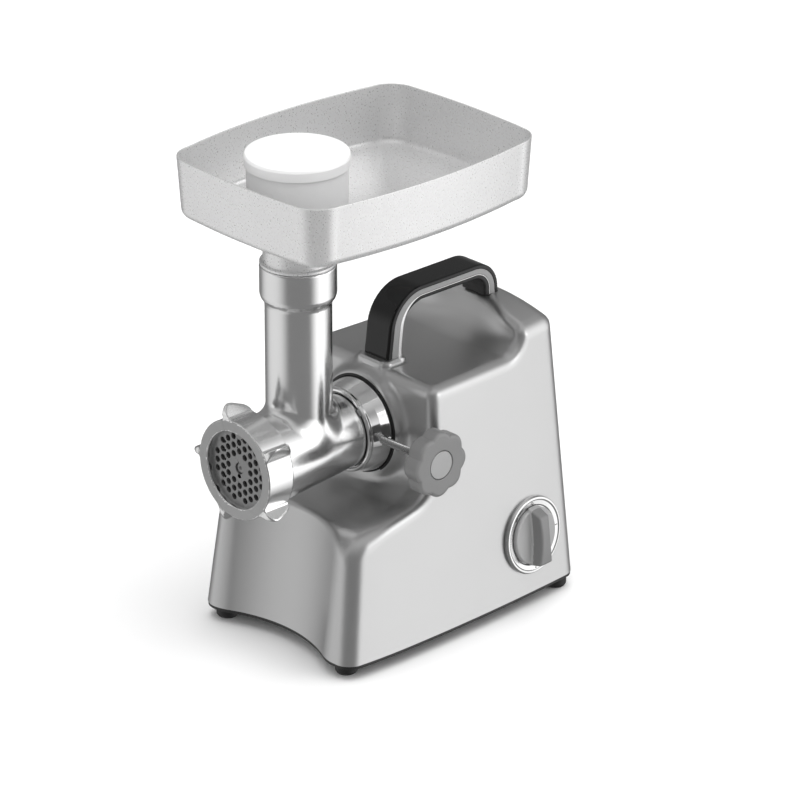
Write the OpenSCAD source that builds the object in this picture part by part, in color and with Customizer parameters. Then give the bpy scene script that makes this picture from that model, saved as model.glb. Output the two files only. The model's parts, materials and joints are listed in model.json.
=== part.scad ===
// Electric meat grinder with removable head, tray and pusher.
// Drawn about the middle of the four feet, then moved so that the origin is the
// bottom centre of the whole part's bounding box. Front (grinding plate) is -Y,
// the dial and the star knob are on +X, +Z is up.

/* [Casing] */
// Front edge of the casing at its foot, ahead of the origin
body_front = 118.5; // [116:0.5:120]
// Rear edge of the casing at its foot, behind the origin
body_rear = 116; // [114:0.5:118]
// Widest half width of the casing
body_half = 83; // [82:0.5:84]
// Height of the casing's lower edge above the floor
body_z = 12; // [12:0.5:13]
// Wall thickness of the casing
wall = 3; // [2.5:0.1:3.2]
// Height of the flat part of the top, in front of the ramp
deck_z = 194; // [193:0.5:195]
// Height of the crowned rear part of the top
crown_z = 221; // [220:0.5:222]

/* [Grinding head] */
// Height of the auger axis above the floor
axis_z = 150.7; // [150:0.1:151.5]
// Distance of the feed throat ahead of the origin
throat_y = 90; // [89:0.5:91]
// Outer radius of the feed throat
throat_r = 23.8; // [23.5:0.1:24.2]
// Diameter of the grinding plate
plate_d = 61.8; // [61.6:0.1:62]
// Diameter of the holes in the grinding plate
hole_d = 4.6; // [4:0.1:4.8]
// Distance between neighbouring plate holes
hole_pitch = 6.65; // [6.5:0.05:6.8]
// Number of lugs on the ring nut
lugs = 5; // [4:1:6]

/* [Tray and pusher] */
// Half width of the tray's rim, side to side
tray_half_x = 86; // [84:0.5:87]
// Half length of the tray's rim, front to rear
tray_half_y = 112; // [111:0.5:114]
// Height of the tray's rim above the floor
rim_z = 364.5; // [362:0.5:366]
// Depth of the tray
tray_depth = 45.5; // [44:0.5:47]
// Radius of the pusher's wide upper part
pusher_r = 35.8; // [35:0.1:36.2]

/* [Gear train] */
// Teeth of the motor pinion
z_motor = 11; // [11:1:11]
// Teeth of the first wheel
z_one = 48; // [48:1:48]
// Teeth of the second and third pinions
z_pinion = 12; // [12:1:12]
// Teeth of the second wheel
z_two = 42; // [42:1:42]
// Teeth of the output gear
z_out = 40; // [40:1:40]

/* [Hidden] */

fine = 64;          // facets of true circles on screen
gap = 0.05;         // radial clearance of running fits
eps = 0.01;
box_middle = [3.75, -16.8];

// Casing: how each wall leans inward per millimetre of height
lean_side = 0.086;
lean_front = 0.134;
lean_rear = 0.045;
corner_r = 14;      // vertical corners of the casing
bow_y = -60;        // where the casing is widest
bow_rear = 0.00028; // how fast the sides draw in from there, per square millimetre
bow_right = 0.00095;
bow_left = 0.00234;
scoop_r = 113;      // radius of the hollow front, an upright cylinder
scoop_depth = 14.3;
hollow_half = 50;   // half width of the flat in the nose's hollow top
hollow_edge = 70;
boss_r = 40;        // round boss that the socket comes out of
boss_y = -32;

// Feet
foot_x = 63.3;
foot_y = 104.2;
foot_r = 8.5;
foot_h = 9.5;
floor_z = 9.5;      // underside of the base plate

// Dial on the leaning side wall
dial_y = 68;
dial_z = 56;
dial_x = 74.6;      // casing surface at the dial's centre
dial_tilt = atan(lean_side);
dial_yaw = 4.1;     // the wall's bow at the dial

// Gear train: wheel modules and shaft places in the XZ plane
m_one = 1;
m_two = 1.25;
m_out = 1.5;
c_one = m_one * (z_motor + z_one) / 2;
c_two = m_two * (z_pinion + z_two) / 2;
c_out = m_out * (z_pinion + z_out) / 2;
shaft_two = [0, axis_z - c_out];
step_x = 21.7;
shaft_one = shaft_two + [step_x, -sqrt(c_two * c_two - step_x * step_x)];
motor_c = shaft_one + [-step_x, -sqrt(c_one * c_one - step_x * step_x)];
backlash = 0.3;

// Gearbox walls, front to rear
case_y0 = -21;
case_y1 = 36;
cover_y = 40;
case_x = [-38, 53];
case_z = [53, 187];

// Head stations along Y
nose_y = -151.9;    // front face of the ring nut
nut_len = 23;
plate_y = -147.2;   // front face of the grinding plate
plate_t = 5;
lip_y = -51;        // front of the socket
tail_y = -33;       // rear end of the head casting
bore_r = 23.5;
tail_r = 26;
thread_r = 33.5;
nut_r = 37.1;
nut_open_r = 28.5;
auger_r = 22.9;
screw_y = -40;
screw_r = 3;
mouth_z = 291;

tray_y = -35.5;
tray_z0 = rim_z - tray_depth;
sheet = 1.4;
neck_r = 24.2;
shaft_r = 20.3;     // pusher shaft in the throat
cap_z = 374.6;
cap_r = 37.3;

steel = [0.75, 0.76, 0.78];
dark = [0.12, 0.12, 0.13];
silver = [0.66, 0.66, 0.67];

// ---------- helpers ----------

// From the middle of the feet to the bottom centre of the bounding box
module placed() { translate([-box_middle[0], -box_middle[1], 0]) children(); }

// Revolves a profile of [radius, y] points round the axis at (x, z)
module revolve_y(x, z) {
    translate([x, 0, z]) rotate([-90, 0, 0]) rotate_extrude($fn = fine) children();
}
// Round bar along Y from y0 to y1
module bar_y(x, z, r, y0, y1) {
    translate([x, y0, z]) rotate([-90, 0, 0]) cylinder(h = y1 - y0, r = r, $fn = fine);
}
// Extrudes an outline given in X and Z from y0 to y1
module slab_y(y0, y1) {
    translate([0, y1, 0]) rotate([90, 0, 0]) linear_extrude(y1 - y0) children();
}
// Extrudes an outline given in Y and Z from x0 to x1
module slab_x(x0, x1) {
    translate([x0, 0, 0]) rotate([90, 0, 90]) linear_extrude(x1 - x0) children();
}
// Rectangle with true round corners
module round_rect(x0, x1, y0, y1, r) {
    translate([x0 + r, y0]) square([x1 - x0 - 2 * r, y1 - y0]);
    translate([x0, y0 + r]) square([x1 - x0, y1 - y0 - 2 * r]);
    for (x = [x0 + r, x1 - r], y = [y0 + r, y1 - r])
        translate([x, y]) circle(r, $fn = fine);
}
module at_feet() {
    for (x = [-foot_x, foot_x], y = [-foot_y, foot_y]) translate([x, y, 0]) children();
}
// Casing screws that hold the base plate
module at_bosses() {
    for (s = [-1, 1], p = [[74.5, -84], [73, 0], [67, 88]]) translate([s * p[0], p[1], 0]) children();
}

// ---------- casing shape ----------

function side_x(y, bow) = body_half - (y < bow_y ? bow : bow_rear) * (y - bow_y) * (y - bow_y);
function front_y(z) = -body_front + lean_front * (z - body_z);
function rear_y(z) = body_rear - lean_rear * (z - body_z);
function lean(z) = lean_side * (z - body_z);
arc_steps = 4;
side_steps = 6;
// Half of the plan outline at height z, drawn in by t, front to rear, as on the right
function half_ring(z, t, bow) = let (
        yf = front_y(z) + corner_r, yr = rear_y(z) - corner_r,
        xf = side_x(yf, bow) - lean(z) - corner_r, xr = side_x(yr, bow) - lean(z) - corner_r,
        r = corner_r - t)
    concat(
        [for (i = [0:arc_steps]) let (a = -90 + 90 * i / arc_steps)
            [xf + r * cos(a), yf + r * sin(a)]],
        [for (i = [1:side_steps]) let (y = yf + (yr - yf) * i / (side_steps + 1))
            [side_x(y, bow) - lean(z) - t, y]],
        [for (i = [0:arc_steps]) let (a = 90 * i / arc_steps)
            [xr + r * cos(a), yr + r * sin(a)]]);
function ring(z, t) = let (right = half_ring(z, t, bow_right), left = half_ring(z, t, bow_left))
    concat(right, [for (i = [len(left) - 1:-1:0]) [-left[i][0], left[i][1]]]);
// Leaning walls between two heights, drawn in by t
module leaning_walls(z0, z1, t) {
    low = ring(z0, t);
    high = ring(z1, t);
    n = len(low);
    polyhedron(
        points = concat([for (p = low) [p[0], p[1], z0]], [for (p = high) [p[0], p[1], z1]]),
        faces = concat([[for (i = [0:n - 1]) i]], [[for (i = [n - 1:-1:0]) n + i]],
            [for (i = [0:n - 1]) [i, n + i, (i + 1) % n]],
            [for (i = [0:n - 1]) [(i + 1) % n, n + i, n + (i + 1) % n]]));
}
// Seen from the side: nose, upper block, flat deck, ramp and raised rear
module side_outline(t, z0) {
    polygon([[-130, z0], [-130, 92 - t], [-107.2, 92 - t], [-104.4 + t, 98 - t],
        [-98.5, 102.4 - t], [-46, 113.3 - t], [-38 + t / 3, 115.8 - t], [-31.5 + t / 2, 121 - t],
        [-28 + t, 129 - t / 2], [-26.4 + t, 138], [-25.2 + t, 163], [-24.3 + t, deck_z - 9 + t],
        [-22.4 + t, deck_z - 3 - t / 2], [-16, deck_z - t],
        [54 + t, deck_z - t], [62 + t, 196.5 - t], [67.3 + t, 201 - t],
        [70 + t, 207 - t], [73 + t, 213.5 - t], [79 + t, 218.5 - t], [87, crown_z - t],
        [97, crown_z - t], [102 - t, crown_z - 6 - t], [130, crown_z - 10 - t], [130, z0]]);
}
// Crowned top, seen from the front
module crown_outline(t) {
    crown_r = 185;
    intersection() {
        translate([0, crown_z - crown_r]) circle(crown_r - t, $fn = 180);
        translate([-95, -5]) square([190, 240]);
    }
}
module scoop(t) {
    translate([0, -body_front + scoop_depth - scoop_r, body_z]) rotate([-atan(lean_front), 0, 0])
        translate([0, 0, -10]) cylinder(h = 120, r = scoop_r + t, $fn = 180);
}
// Hollow in the top of the nose: deepest at the foot of the block, which it meets in a fillet
module nose_hollow(t) {
    rods = [[hollow_half, -97, 103.6], [hollow_half, -46, 106], [hollow_half, -38.5, 107.5],
        [hollow_half, -32.5, 111.5], [hollow_half, -29, 118.5], [hollow_half, -27, 128],
        [hollow_edge, -97, 103], [hollow_edge, -46, 113.5], [hollow_edge, -97, 140],
        [hollow_edge, -27, 140]];
    hull() for (p = rods) translate([-p[0], p[1], p[2] - t]) cube([2 * p[0], eps, eps]);
}
module casing_solid(t, z0) {
    difference() {
        intersection() {
            leaning_walls(z0, 226, t);
            slab_x(-95, 95) side_outline(t, z0);
            slab_y(-130, 130) crown_outline(t);
        }
        scoop(t);
        nose_hollow(t);
    }
}
module at_dial() {
    translate([dial_x, dial_y, dial_z]) rotate([0, 90 - dial_tilt, dial_yaw]) children();
}

module housing_shell() color(silver) difference() {
    union() {
        difference() {
            casing_solid(0, body_z);
            casing_solid(wall, body_z - 2);
        }
        // boss round the socket
        difference() {
            bar_y(0, axis_z, boss_r, boss_y, -22);
            bar_y(0, axis_z, boss_r - 4, boss_y - 1, -20);
        }
        // pad under the handle's front foot
        translate([0, 0, deck_z - 2]) linear_extrude(6) round_rect(-16.5, 16.5, -22.5, 1.5, 5);
        // screw bosses
        intersection() {
            casing_solid(1, body_z);
            at_bosses() translate([0, 0, body_z]) cylinder(h = 24, r = 6, $fn = fine);
        }
    }
    bar_y(0, axis_z, 35.9, boss_y - 2, -15);
    at_dial() translate([0, 0, -20]) cylinder(h = 30, r = 5, $fn = fine);
    at_bosses() translate([0, 0, body_z - 1]) cylinder(h = 20, r = 1.9, $fn = fine);
    for (y = [-8, 87]) translate([0, y, 185]) cylinder(h = 40, r = 2.6, $fn = fine);
    bar_y(-45, 32, 6.5, 105, 120);
    // air slots in the rear wall
    for (i = [-4:4]) slab_y(100, 120) translate([i * 9 - 2, 60]) square([4, 46]);
}

module base_plate() color(dark) difference() {
    union() {
        difference() {
            translate([0, 0, floor_z]) linear_extrude(body_z - floor_z)
                polygon(ring(body_z, 2.5));
            scoop(2.5);
        }
        // cradles under the gearbox and the motor
        for (y = [-14, 22]) translate([-24, y, body_z - 1])
            cube([48, 8, case_z[0] - body_z + 1]);
        translate([-24, 56, body_z - 1]) cube([48, 26, motor_c[1] - 30 - body_z + 1]);
        // posts under the circuit board
        for (x = [-38, 38], y = [-82, -40]) translate([x, y, body_z - 1])
            cylinder(h = 15, r = 4, $fn = fine);
    }
    at_feet() translate([0, 0, 5]) cylinder(h = 10, r = 2.2, $fn = fine);
    at_bosses() translate([0, 0, 5]) cylinder(h = 10, r = 2.2, $fn = fine);
    for (x = [-38, 38], y = [-82, -40]) translate([x, y, body_z + 2])
        cylinder(h = 20, r = 1.6, $fn = fine);
    for (i = [-3:3]) translate([i * 9 - 2, 88, 5]) cube([4, 20, 10]);
}

module feet() color(dark) at_feet() difference() {
    rotate_extrude($fn = fine)
        polygon([[0, 0], [foot_r - 1.5, 0], [foot_r - 0.5, 1], [foot_r, foot_h], [0, foot_h]]);
    translate([0, 0, -1]) cylinder(h = 5, r = 4.4, $fn = fine);
    cylinder(h = 20, r = 2.2, $fn = fine);
}
module foot_screws() color(steel) at_feet() {
    translate([0, 0, 1.6]) cylinder(h = 2.4, r = 4, $fn = fine);
    translate([0, 0, 3.9]) cylinder(h = 12, r = 2.1, $fn = fine);
    translate([0, 0, body_z]) cylinder(h = 3, r = 4, $fn = 6);
}
module base_screws() color(steel) at_bosses() {
    translate([0, 0, floor_z - 2]) cylinder(h = 2, r = 3.6, $fn = fine);
    translate([0, 0, floor_z - 0.1]) cylinder(h = 18, r = 1.8, $fn = fine);
}

// ---------- handle ----------

// Outer line of the handle: [y, z, inward normal angle, thickness]
function lerp(a, b, f) = a + (b - a) * f;
function arc_pts(cy, cz, r, a0, a1, t0, t1, n) =
    [for (i = [0:n]) let (a = lerp(a0, a1, i / n))
        [cy + r * cos(a), cz + r * sin(a), a + 180, lerp(t0, t1, i / n)]];
handle_top = 246.6;
front_r = 32;
rear_r = 22;
handle_line = concat(
    [[-16.6, deck_z + 4, 8, 17]], [[-14.6, 209, 12, 16]],
    arc_pts(18, handle_top - front_r, front_r, 168, 90, 15.6, 11, 8),
    arc_pts(71.5, handle_top - rear_r, rear_r, 90, 0, 11, 13.2, 7),
    [[94, crown_z - 4, 182, 13.6]]);
// Point at fraction f of the thickness
function handle_pt(p, f) = [p[0] + cos(p[2]) * p[3] * f, p[1] + sin(p[2]) * p[3] * f];
function band(f0, f1) = let (n = len(handle_line))
    concat([for (p = handle_line) handle_pt(p, f0)],
        [for (i = [n - 1:-1:0]) handle_pt(handle_line[i], f1)]);
handle_half = 12.6;
inlay_t = 2.4;
f_shell = 0.27;
f_inlay = 0.7;

module handle_cut() {
    // feet follow the deck and the crowned rear
    translate([-20, -30, deck_z - 20]) cube([40, 60, 24]);
    intersection() {
        slab_y(70, 130) crown_outline(0);
        translate([-20, 70, 180]) cube([40, 60, 60]);
    }
    for (y = [-8, 87]) translate([0, y, 185]) cylinder(h = 47, r = 2.2, $fn = fine);
}
module handle_shell() color(dark) difference() {
    slab_x(-handle_half, handle_half) polygon(band(0, f_shell));
    handle_cut();
}
module handle_inlays() color(silver) difference() {
    for (s = [-1, 1]) translate([s * (handle_half - 0.2 - inlay_t / 2), 0, 0])
        slab_x(-inlay_t / 2, inlay_t / 2) polygon(band(f_shell, f_inlay));
    handle_cut();
}
module handle_core() color(dark) difference() {
    union() {
        slab_x(-handle_half + 0.3, handle_half - 0.3) polygon(band(f_inlay, 1));
        slab_x(-handle_half + 0.2 + inlay_t, handle_half - 0.2 - inlay_t)
            polygon(band(f_shell, 1));
    }
    handle_cut();
}
module handle_screws() color(steel) {
    for (p = [[-8, deck_z - wall, 24], [87, crown_z - wall - 2.4, 13]]) translate([0, p[0], p[1]]) {
        translate([0, 0, -2.6]) cylinder(h = 2.6, r = 4.2, $fn = fine);
        translate([0, 0, -1]) cylinder(h = p[2] - 6, r = 2.15, $fn = fine);
    }
}
module cord_inlet() color(dark) difference() {
    union() {
        bar_y(-45, 32, 6.4, 109, 118);
        bar_y(-45, 32, 9, 115.7, 118.3);
        bar_y(-45, 32, 9, 108.5, 111.3);
    }
    bar_y(-45, 32, 3.8, 100, 125);
}

// ---------- controls ----------

module dial_bezel() color(steel) at_dial() rotate_extrude($fn = fine)
    polygon([[5.2, 0.1], [29.2, 0.1], [29.2, 1.6], [28, 3.2], [26.4, 3.4], [25.8, 2.6], [24.6, 2.4],
        [22.2, 1.9], [21.9, 1.2], [5.2, 1.2]]);
module selector_knob() color(silver) at_dial() difference() {
    union() {
        rotate_extrude($fn = fine) polygon([[0, 1.6], [21.3, 1.6], [21.3, 5], [20.3, 6.2], [0, 6.6]]);
        intersection() {
            translate([0, 0, 6]) rotate_extrude($fn = fine)
                polygon([[0, 0], [21, 0], [19.6, 9], [0, 10]]);
            // grip bar, narrow at its middle height
            linear_extrude(30) polygon([[-22, -5.6], [22, -4.2], [22, 4.2], [-22, 5.6]]);
        }
    }
    translate([0, 0, -1]) cylinder(h = 11, r = 3, $fn = fine);
}
module selector_shaft() color(steel) at_dial() {
    translate([0, 0, -9.5]) cylinder(h = 19, r = 2.95, $fn = fine);
}
module rotary_switch() color(dark) at_dial() difference() {
    union() {
        translate([-15, -15, -30]) cube([30, 30, 22]);
        translate([0, 0, -8.5]) cylinder(h = 8, r = 4.8, $fn = fine);
        for (x = [-9, 0, 9]) translate([x - 1, -8, -37]) cube([2, 16, 7.5]);
    }
    translate([0, 0, -10]) cylinder(h = 20, r = 3, $fn = fine);
}
module switch_nut() color(steel) at_dial() difference() {
    translate([0, 0, -7.8]) cylinder(h = 3.4, r = 8, $fn = 6);
    translate([0, 0, -9]) cylinder(h = 6, r = 4.85, $fn = fine);
}
board_z = body_z + 14;
module control_board() color([0.1, 0.35, 0.2]) {
    difference() {
        translate([-45, -88, board_z]) cube([90, 54, 1.6]);
        for (x = [-38, 38], y = [-82, -40]) translate([x, y, board_z - 1])
            cylinder(h = 4, r = 1.8, $fn = fine);
    }
    translate([-30, -76, board_z + 1.5]) cube([26, 12, 24]);
    translate([8, -64, board_z + 1.5]) cylinder(h = 26, r = 9, $fn = fine);
    translate([22, -80, board_z + 1.5]) cube([10, 30, 14]);
    translate([-32, -54, board_z + 1.5]) cube([30, 14, 10]);
}
module board_screws() color(steel)
    for (x = [-38, 38], y = [-82, -40]) translate([x, y, board_z]) {
        translate([0, 0, 1.6]) cylinder(h = 2, r = 3, $fn = fine);
        translate([0, 0, -8]) cylinder(h = 10, r = 1.5, $fn = fine);
    }

// ---------- motor ----------

module at_motor() { translate([motor_c[0], 0, motor_c[1]]) children(); }
stack = [52, 88];
bolt_x = 31;
module motor_stator() color(steel) at_motor() difference() {
    slab_y(stack[0], stack[1]) difference() {
        round_rect(-36, 36, -30, 30, 8);
        circle(19.6, $fn = fine);
        for (s = [-1, 1]) translate([-25, s * 20.5 - 3.6]) square([50, 7.2]);
        for (s = [-1, 1]) translate([s * bolt_x, 0]) circle(2.4, $fn = fine);
    }
}
module field_coils() color([0.72, 0.42, 0.2]) at_motor() for (s = [-1, 1])
    difference() {
        slab_y(stack[0] - 5, stack[1] + 4) translate([-24.6, s * 20.5 - 3.3]) square([49.2, 6.6]);
        slab_y(stack[0] - 1, stack[1] - 1) translate([-14, s * 20.5 - 4]) square([28, 8]);
        bar_y(0, 0, 19.7, 30, 120);
    }
module rotor_core() color([0.55, 0.4, 0.25]) at_motor() difference() {
    slab_y(stack[0], stack[1]) difference() {
        circle(19, $fn = fine);
        circle(4, $fn = fine);
        for (i = [0:11]) rotate(i * 30) translate([15, 0]) circle(1.8, $fn = fine);
    }
}
module rotor_shaft() color(steel) bar_y(motor_c[0], motor_c[1], 3.95, 22, 108);
module commutator() color([0.75, 0.45, 0.22]) at_motor() slab_y(92.5, 101) difference() {
    circle(10, $fn = fine);
    circle(4, $fn = fine);
    for (i = [0:11]) rotate(i * 30) translate([9, -0.4]) square([3, 0.8]);
}
module brushes() color(dark) at_motor() for (s = [-1, 1])
    translate([s * 16.2 - 6, 94, -3]) cube([12, 5, 6]);
module brush_holders() color([0.8, 0.65, 0.3]) at_motor() for (s = [-1, 1]) difference() {
    translate([s * 20.5 - 7.5, 92.7, -4.4]) cube([15, 7.6, 8.8]);
    translate([s * 21 - 12, 93.9, -3.1]) cube([24, 5.2, 6.2]);
}
module motor_fan() color(dark) at_motor() {
    slab_y(41.5, 43) difference() {
        circle(26, $fn = fine);
        circle(4, $fn = fine);
    }
    slab_y(42.5, 46.5) {
        difference() {
            circle(8, $fn = fine);
            circle(4, $fn = fine);
        }
        for (i = [0:9]) rotate(i * 36) translate([7.5, -0.8]) square([18, 1.6]);
    }
}
bearing_in = 4;
bearing_out = 9;
module motor_rear_bracket() color(steel) at_motor() difference() {
    union() {
        slab_y(103, 106.5) difference() {
            union() {
                translate([-36, -7]) square([72, 14]);
                circle(13, $fn = fine);
            }
            circle(bearing_out, $fn = fine);
        }
        for (s = [-1, 1]) translate([s * 33 - 3, 88.2, -7]) cube([6, 15, 14]);
    }
    for (s = [-1, 1]) bar_y(s * bolt_x, 0, 2.4, 80, 110);
}
module motor_bearings() color(steel) at_motor() for (y = [[36.5, 40.5], [102.5, 107]])
    slab_y(y[0], y[1]) difference() {
        circle(bearing_out - eps, $fn = fine);
        circle(bearing_in, $fn = fine);
    }
module motor_spacers() color(steel) at_motor() for (s = [-1, 1]) slab_y(cover_y, stack[0])
    translate([s * bolt_x, 0]) difference() {
        circle(4, $fn = fine);
        circle(2.4, $fn = fine);
    }
module motor_bolts() color(steel) at_motor() for (s = [-1, 1]) {
    bar_y(s * bolt_x, 0, 2.3, 37.5, 107);
    bar_y(s * bolt_x, 0, 4, 106.6, 109);
}

// ---------- gears ----------

// Straight-flanked spur gear outline with a tooth centred on the angle given
module gear_outline(teeth, m, tooth_at) {
    pitch = m * teeth / 2;
    tip = pitch + m * 0.95;
    root = pitch - m * 1.25;
    half = (PI * m / 2 - backlash) / 2;
    half_tip = half - m * 0.95 * 0.42;
    half_root = half + m * 1.0 * 0.3;
    pts = [for (i = [0:teeth - 1]) let (a = tooth_at + 360 * i / teeth)
        each [[root, -half_root], [tip, -half_tip], [tip, half_tip], [root, half_root]]
            * [[cos(a), sin(a)], [-sin(a), cos(a)]]];
    polygon(pts);
}
function heading(a, b) = atan2(b[1] - a[1], b[0] - a[0]);
out_c = [0, axis_z];
module wheel(c, teeth, m, tooth_at, y0, y1, hub_r, bore) {
    translate([c[0], 0, c[1]]) slab_y(y0, y1) difference() {
        gear_outline(teeth, m, tooth_at);
        circle(bore, $fn = fine);
    }
    translate([c[0], 0, c[1]]) slab_y(y0 - 1.5, y1 + 1.5) difference() {
        circle(hub_r, $fn = fine);
        circle(bore, $fn = fine);
    }
}
module motor_pinion() color(steel) translate([motor_c[0], 0, motor_c[1]]) slab_y(22, 33.5)
    difference() {
        gear_outline(z_motor, m_one, heading(motor_c, shaft_one));
        circle(3.96, $fn = fine);
    }
module gear_one() color([0.9, 0.88, 0.8])
    wheel(shaft_one, z_one, m_one, heading(shaft_one, motor_c) + 180 / z_one, 24, 32, 9, 4);
module gear_two() color(steel)
    wheel(shaft_two, z_two, m_two, heading(shaft_two, shaft_one) + 180 / z_two, 10, 19, 9, 4);
module output_gear() color(steel)
    wheel(out_c, z_out, m_out, heading(out_c, shaft_two) + 180 / z_out, -9, 4, 15, 10);
module pinion_shaft_one() color(steel) {
    bar_y(shaft_one[0], shaft_one[1], 3.95, -20.5, 39.5);
    translate([shaft_one[0], 0, shaft_one[1]]) slab_y(8.5, 20.5)
        gear_outline(z_pinion, m_two, heading(shaft_one, shaft_two));
}
module pinion_shaft_two() color(steel) {
    bar_y(shaft_two[0], shaft_two[1], 3.95, -20.5, 39.5);
    translate([shaft_two[0], 0, shaft_two[1]]) slab_y(-10.5, 5.5)
        gear_outline(z_pinion, m_out, heading(shaft_two, out_c));
}
hex_r = 7.4;
module output_shaft() color(steel) difference() {
    union() {
        bar_y(0, axis_z, 9.95, -30, 39);
        bar_y(0, axis_z, 12, -15.9, -10.6);
    }
    translate([0, 0, axis_z]) slab_y(-32, -16) circle(hex_r + 0.2, $fn = 6);
}
module gear_bushes() color([0.7, 0.5, 0.25]) for (c = [shaft_one, shaft_two], y = [-20.9, 35])
    translate([c[0], 0, c[1]]) slab_y(y, y + 4.9) difference() {
        circle(6.5, $fn = fine);
        circle(4, $fn = fine);
    }
module output_bearings() color(steel) for (y = [[-21, -16], [34.5, 40]])
    translate([0, 0, axis_z]) slab_y(y[0], y[1]) difference() {
        circle(16, $fn = fine);
        circle(10, $fn = fine);
    }
module bearing_holes() {
    bar_y(0, axis_z, 16 + eps, -40, 60);
    for (c = [shaft_one, shaft_two]) bar_y(c[0], c[1], 6.5 + eps, -40, 60);
}
case_corners = [for (x = [case_x[0] + 7, case_x[1] - 7], z = [case_z[0] + 5, case_z[1] - 7]) [x, z]];
hub_pcd_r = 31;
module at_hub_screws() {
    for (a = [45:90:315]) rotate([0, a, 0]) translate([hub_pcd_r, 0, 0]) children();
}
module gearbox_case() color([0.6, 0.6, 0.62]) difference() {
    union() {
        slab_y(case_y0, case_y0 + 4) round_rect(case_x[0], case_x[1], case_z[0], case_z[1], 8);
        slab_y(case_y0 + 1, case_y1) difference() {
            round_rect(case_x[0], case_x[1], case_z[0], case_z[1], 8);
            round_rect(case_x[0] + 3, case_x[1] - 3, case_z[0] + 3, case_z[1] - 3, 5);
        }
        for (c = case_corners) bar_y(c[0], c[1], 5, case_y0 + 1, case_y1);
    }
    bearing_holes();
    for (c = case_corners) bar_y(c[0], c[1], 1.7, 20, case_y1 + 1);
    translate([0, 0, axis_z]) at_hub_screws() bar_y(0, 0, 2.6, -30, -10);
}
module gearbox_cover() color([0.6, 0.6, 0.62]) difference() {
    slab_y(case_y1, cover_y) round_rect(case_x[0], case_x[1], 40, case_z[1], 8);
    bearing_holes();
    bar_y(motor_c[0], motor_c[1], bearing_out, 30, 60);
    for (c = case_corners) bar_y(c[0], c[1], 2.3, 30, 50);
    for (s = [-1, 1]) bar_y(motor_c[0] + s * bolt_x, motor_c[1], 2.4, 30, 60);
}
module gearbox_screws() color(steel) for (c = case_corners) {
    bar_y(c[0], c[1], 1.65, 22, cover_y);
    bar_y(c[0], c[1], 3.4, cover_y, cover_y + 2.4);
}

// ---------- socket for the head ----------

notch_angle = 45;
module hub_collar() color(steel) difference() {
    revolve_y(0, axis_z) polygon([[tail_r + gap, -46], [28.6, -48.6], [28.6, lip_y + 0.6],
        [29.2, lip_y], [30.4, lip_y + 0.1], [31.2, lip_y + 1.2], [31.8, -48], [34, -41],
        [35.2, -34], [35.5, -28.8], [35.5, case_y0], [22, case_y0], [22, -29], [tail_r + gap, -29]]);
    translate([0, 0, axis_z]) rotate([0, -notch_angle, 0]) translate([20, -60, -3.2]) cube([9.6, 24, 6.4]);
    translate([0, screw_y, axis_z]) rotate([0, 90, 0])
        cylinder(h = 50, r = screw_r + gap, $fn = fine);
    translate([0, 0, axis_z]) at_hub_screws() bar_y(0, 0, 2.1, -32, -15);
}
module hub_seal() color(dark) revolve_y(0, axis_z)
    polygon([[35.55, -32.4], [37.2, -32.4], [37.2, boss_y - 0.02], [35.85, boss_y - 0.02],
        [35.85, -26], [35.55, -26]]);
module hub_screws() color(steel) translate([0, 0, axis_z]) at_hub_screws() {
    bar_y(0, 0, 2, -31, -16);
    bar_y(0, 0, 4, -16.9, -13);
}

// ---------- grinding head ----------

module head_casting() color(steel) difference() {
    union() {
        revolve_y(0, axis_z) polygon([[0, -147], [thread_r, -147], [thread_r, nose_y + nut_len],
            [33.2, nose_y + nut_len + 0.6], [27.8, -56], [27.6, -47.6], [tail_r, -46],
            [tail_r, tail_y], [0, tail_y]]);
        translate([0, -throat_y, axis_z]) cylinder(h = 130, r = throat_r, $fn = fine);
        translate([0, -throat_y, 0]) rotate_extrude($fn = fine)
            polygon([[0, 262], [throat_r, 262], [27.3, 269], [27.4, mouth_z - 1],
                [26.8, mouth_z], [0, mouth_z]]);
    }
    revolve_y(0, axis_z) polygon([[0, -148], [plate_d / 2 + 0.1, -148], [plate_d / 2 + 0.1, -132],
        [bore_r, -129], [bore_r, -37], [0, -37]]);
    bar_y(0, axis_z, 8.05, -50, -30);
    translate([0, -throat_y, axis_z]) cylinder(h = 200, r = 21.3, $fn = fine);
    translate([0, -throat_y, 271.5]) cylinder(h = 30, r = neck_r + 0.2, $fn = fine);
    // seat for the plate key
    translate([0, 0, axis_z]) translate([-2, -148, -33]) cube([4, 6.5, 4]);
}
module head_key() color(steel) translate([0, 0, axis_z]) rotate([0, -notch_angle, 0])
    difference() {
        translate([20, -50.6, -2.6]) cube([8.9, 9, 5.2]);
        revolve_y(0, 0) polygon([[0, -60], [27.85, -60], [27.85, -56], [27.62, -47.6],
            [tail_r + 0.01, -46], [tail_r + 0.01, -30], [0, -30]]);
    }
auger_y0 = -127;
auger_y1 = -45;
module auger() color([0.8, 0.8, 0.82]) {
    // flight: one blade across the axis, twisted along it
    translate([0, auger_y1, axis_z]) rotate([90, 0, 0])
        linear_extrude(auger_y1 - auger_y0, twist = -1080, slices = 54)
            intersection() {
                circle(auger_r, $fn = 32);
                translate([0, -2.4]) square([30, 4.8]);
            }
    revolve_y(0, axis_z) polygon([[0, -144.4], [1.5, -146], [3.4, -146], [4, -145.4], [4, -134],
        [5, -134], [5, auger_y0 - 2], [8, auger_y0 - 2], [9.5, auger_y0], [13.5, auger_y1],
        [21, auger_y1], [21, -41], [7.95, -41], [7.95, tail_y + 1], [0, tail_y + 1]]);
    translate([0, 0, axis_z]) slab_y(tail_y, -18) circle(hex_r, $fn = 6);
}
module auger_washer() color("white") translate([0, 0, axis_z]) slab_y(-40.9, -37.05) difference() {
    circle(20, $fn = fine);
    circle(8.1, $fn = fine);
}
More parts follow.
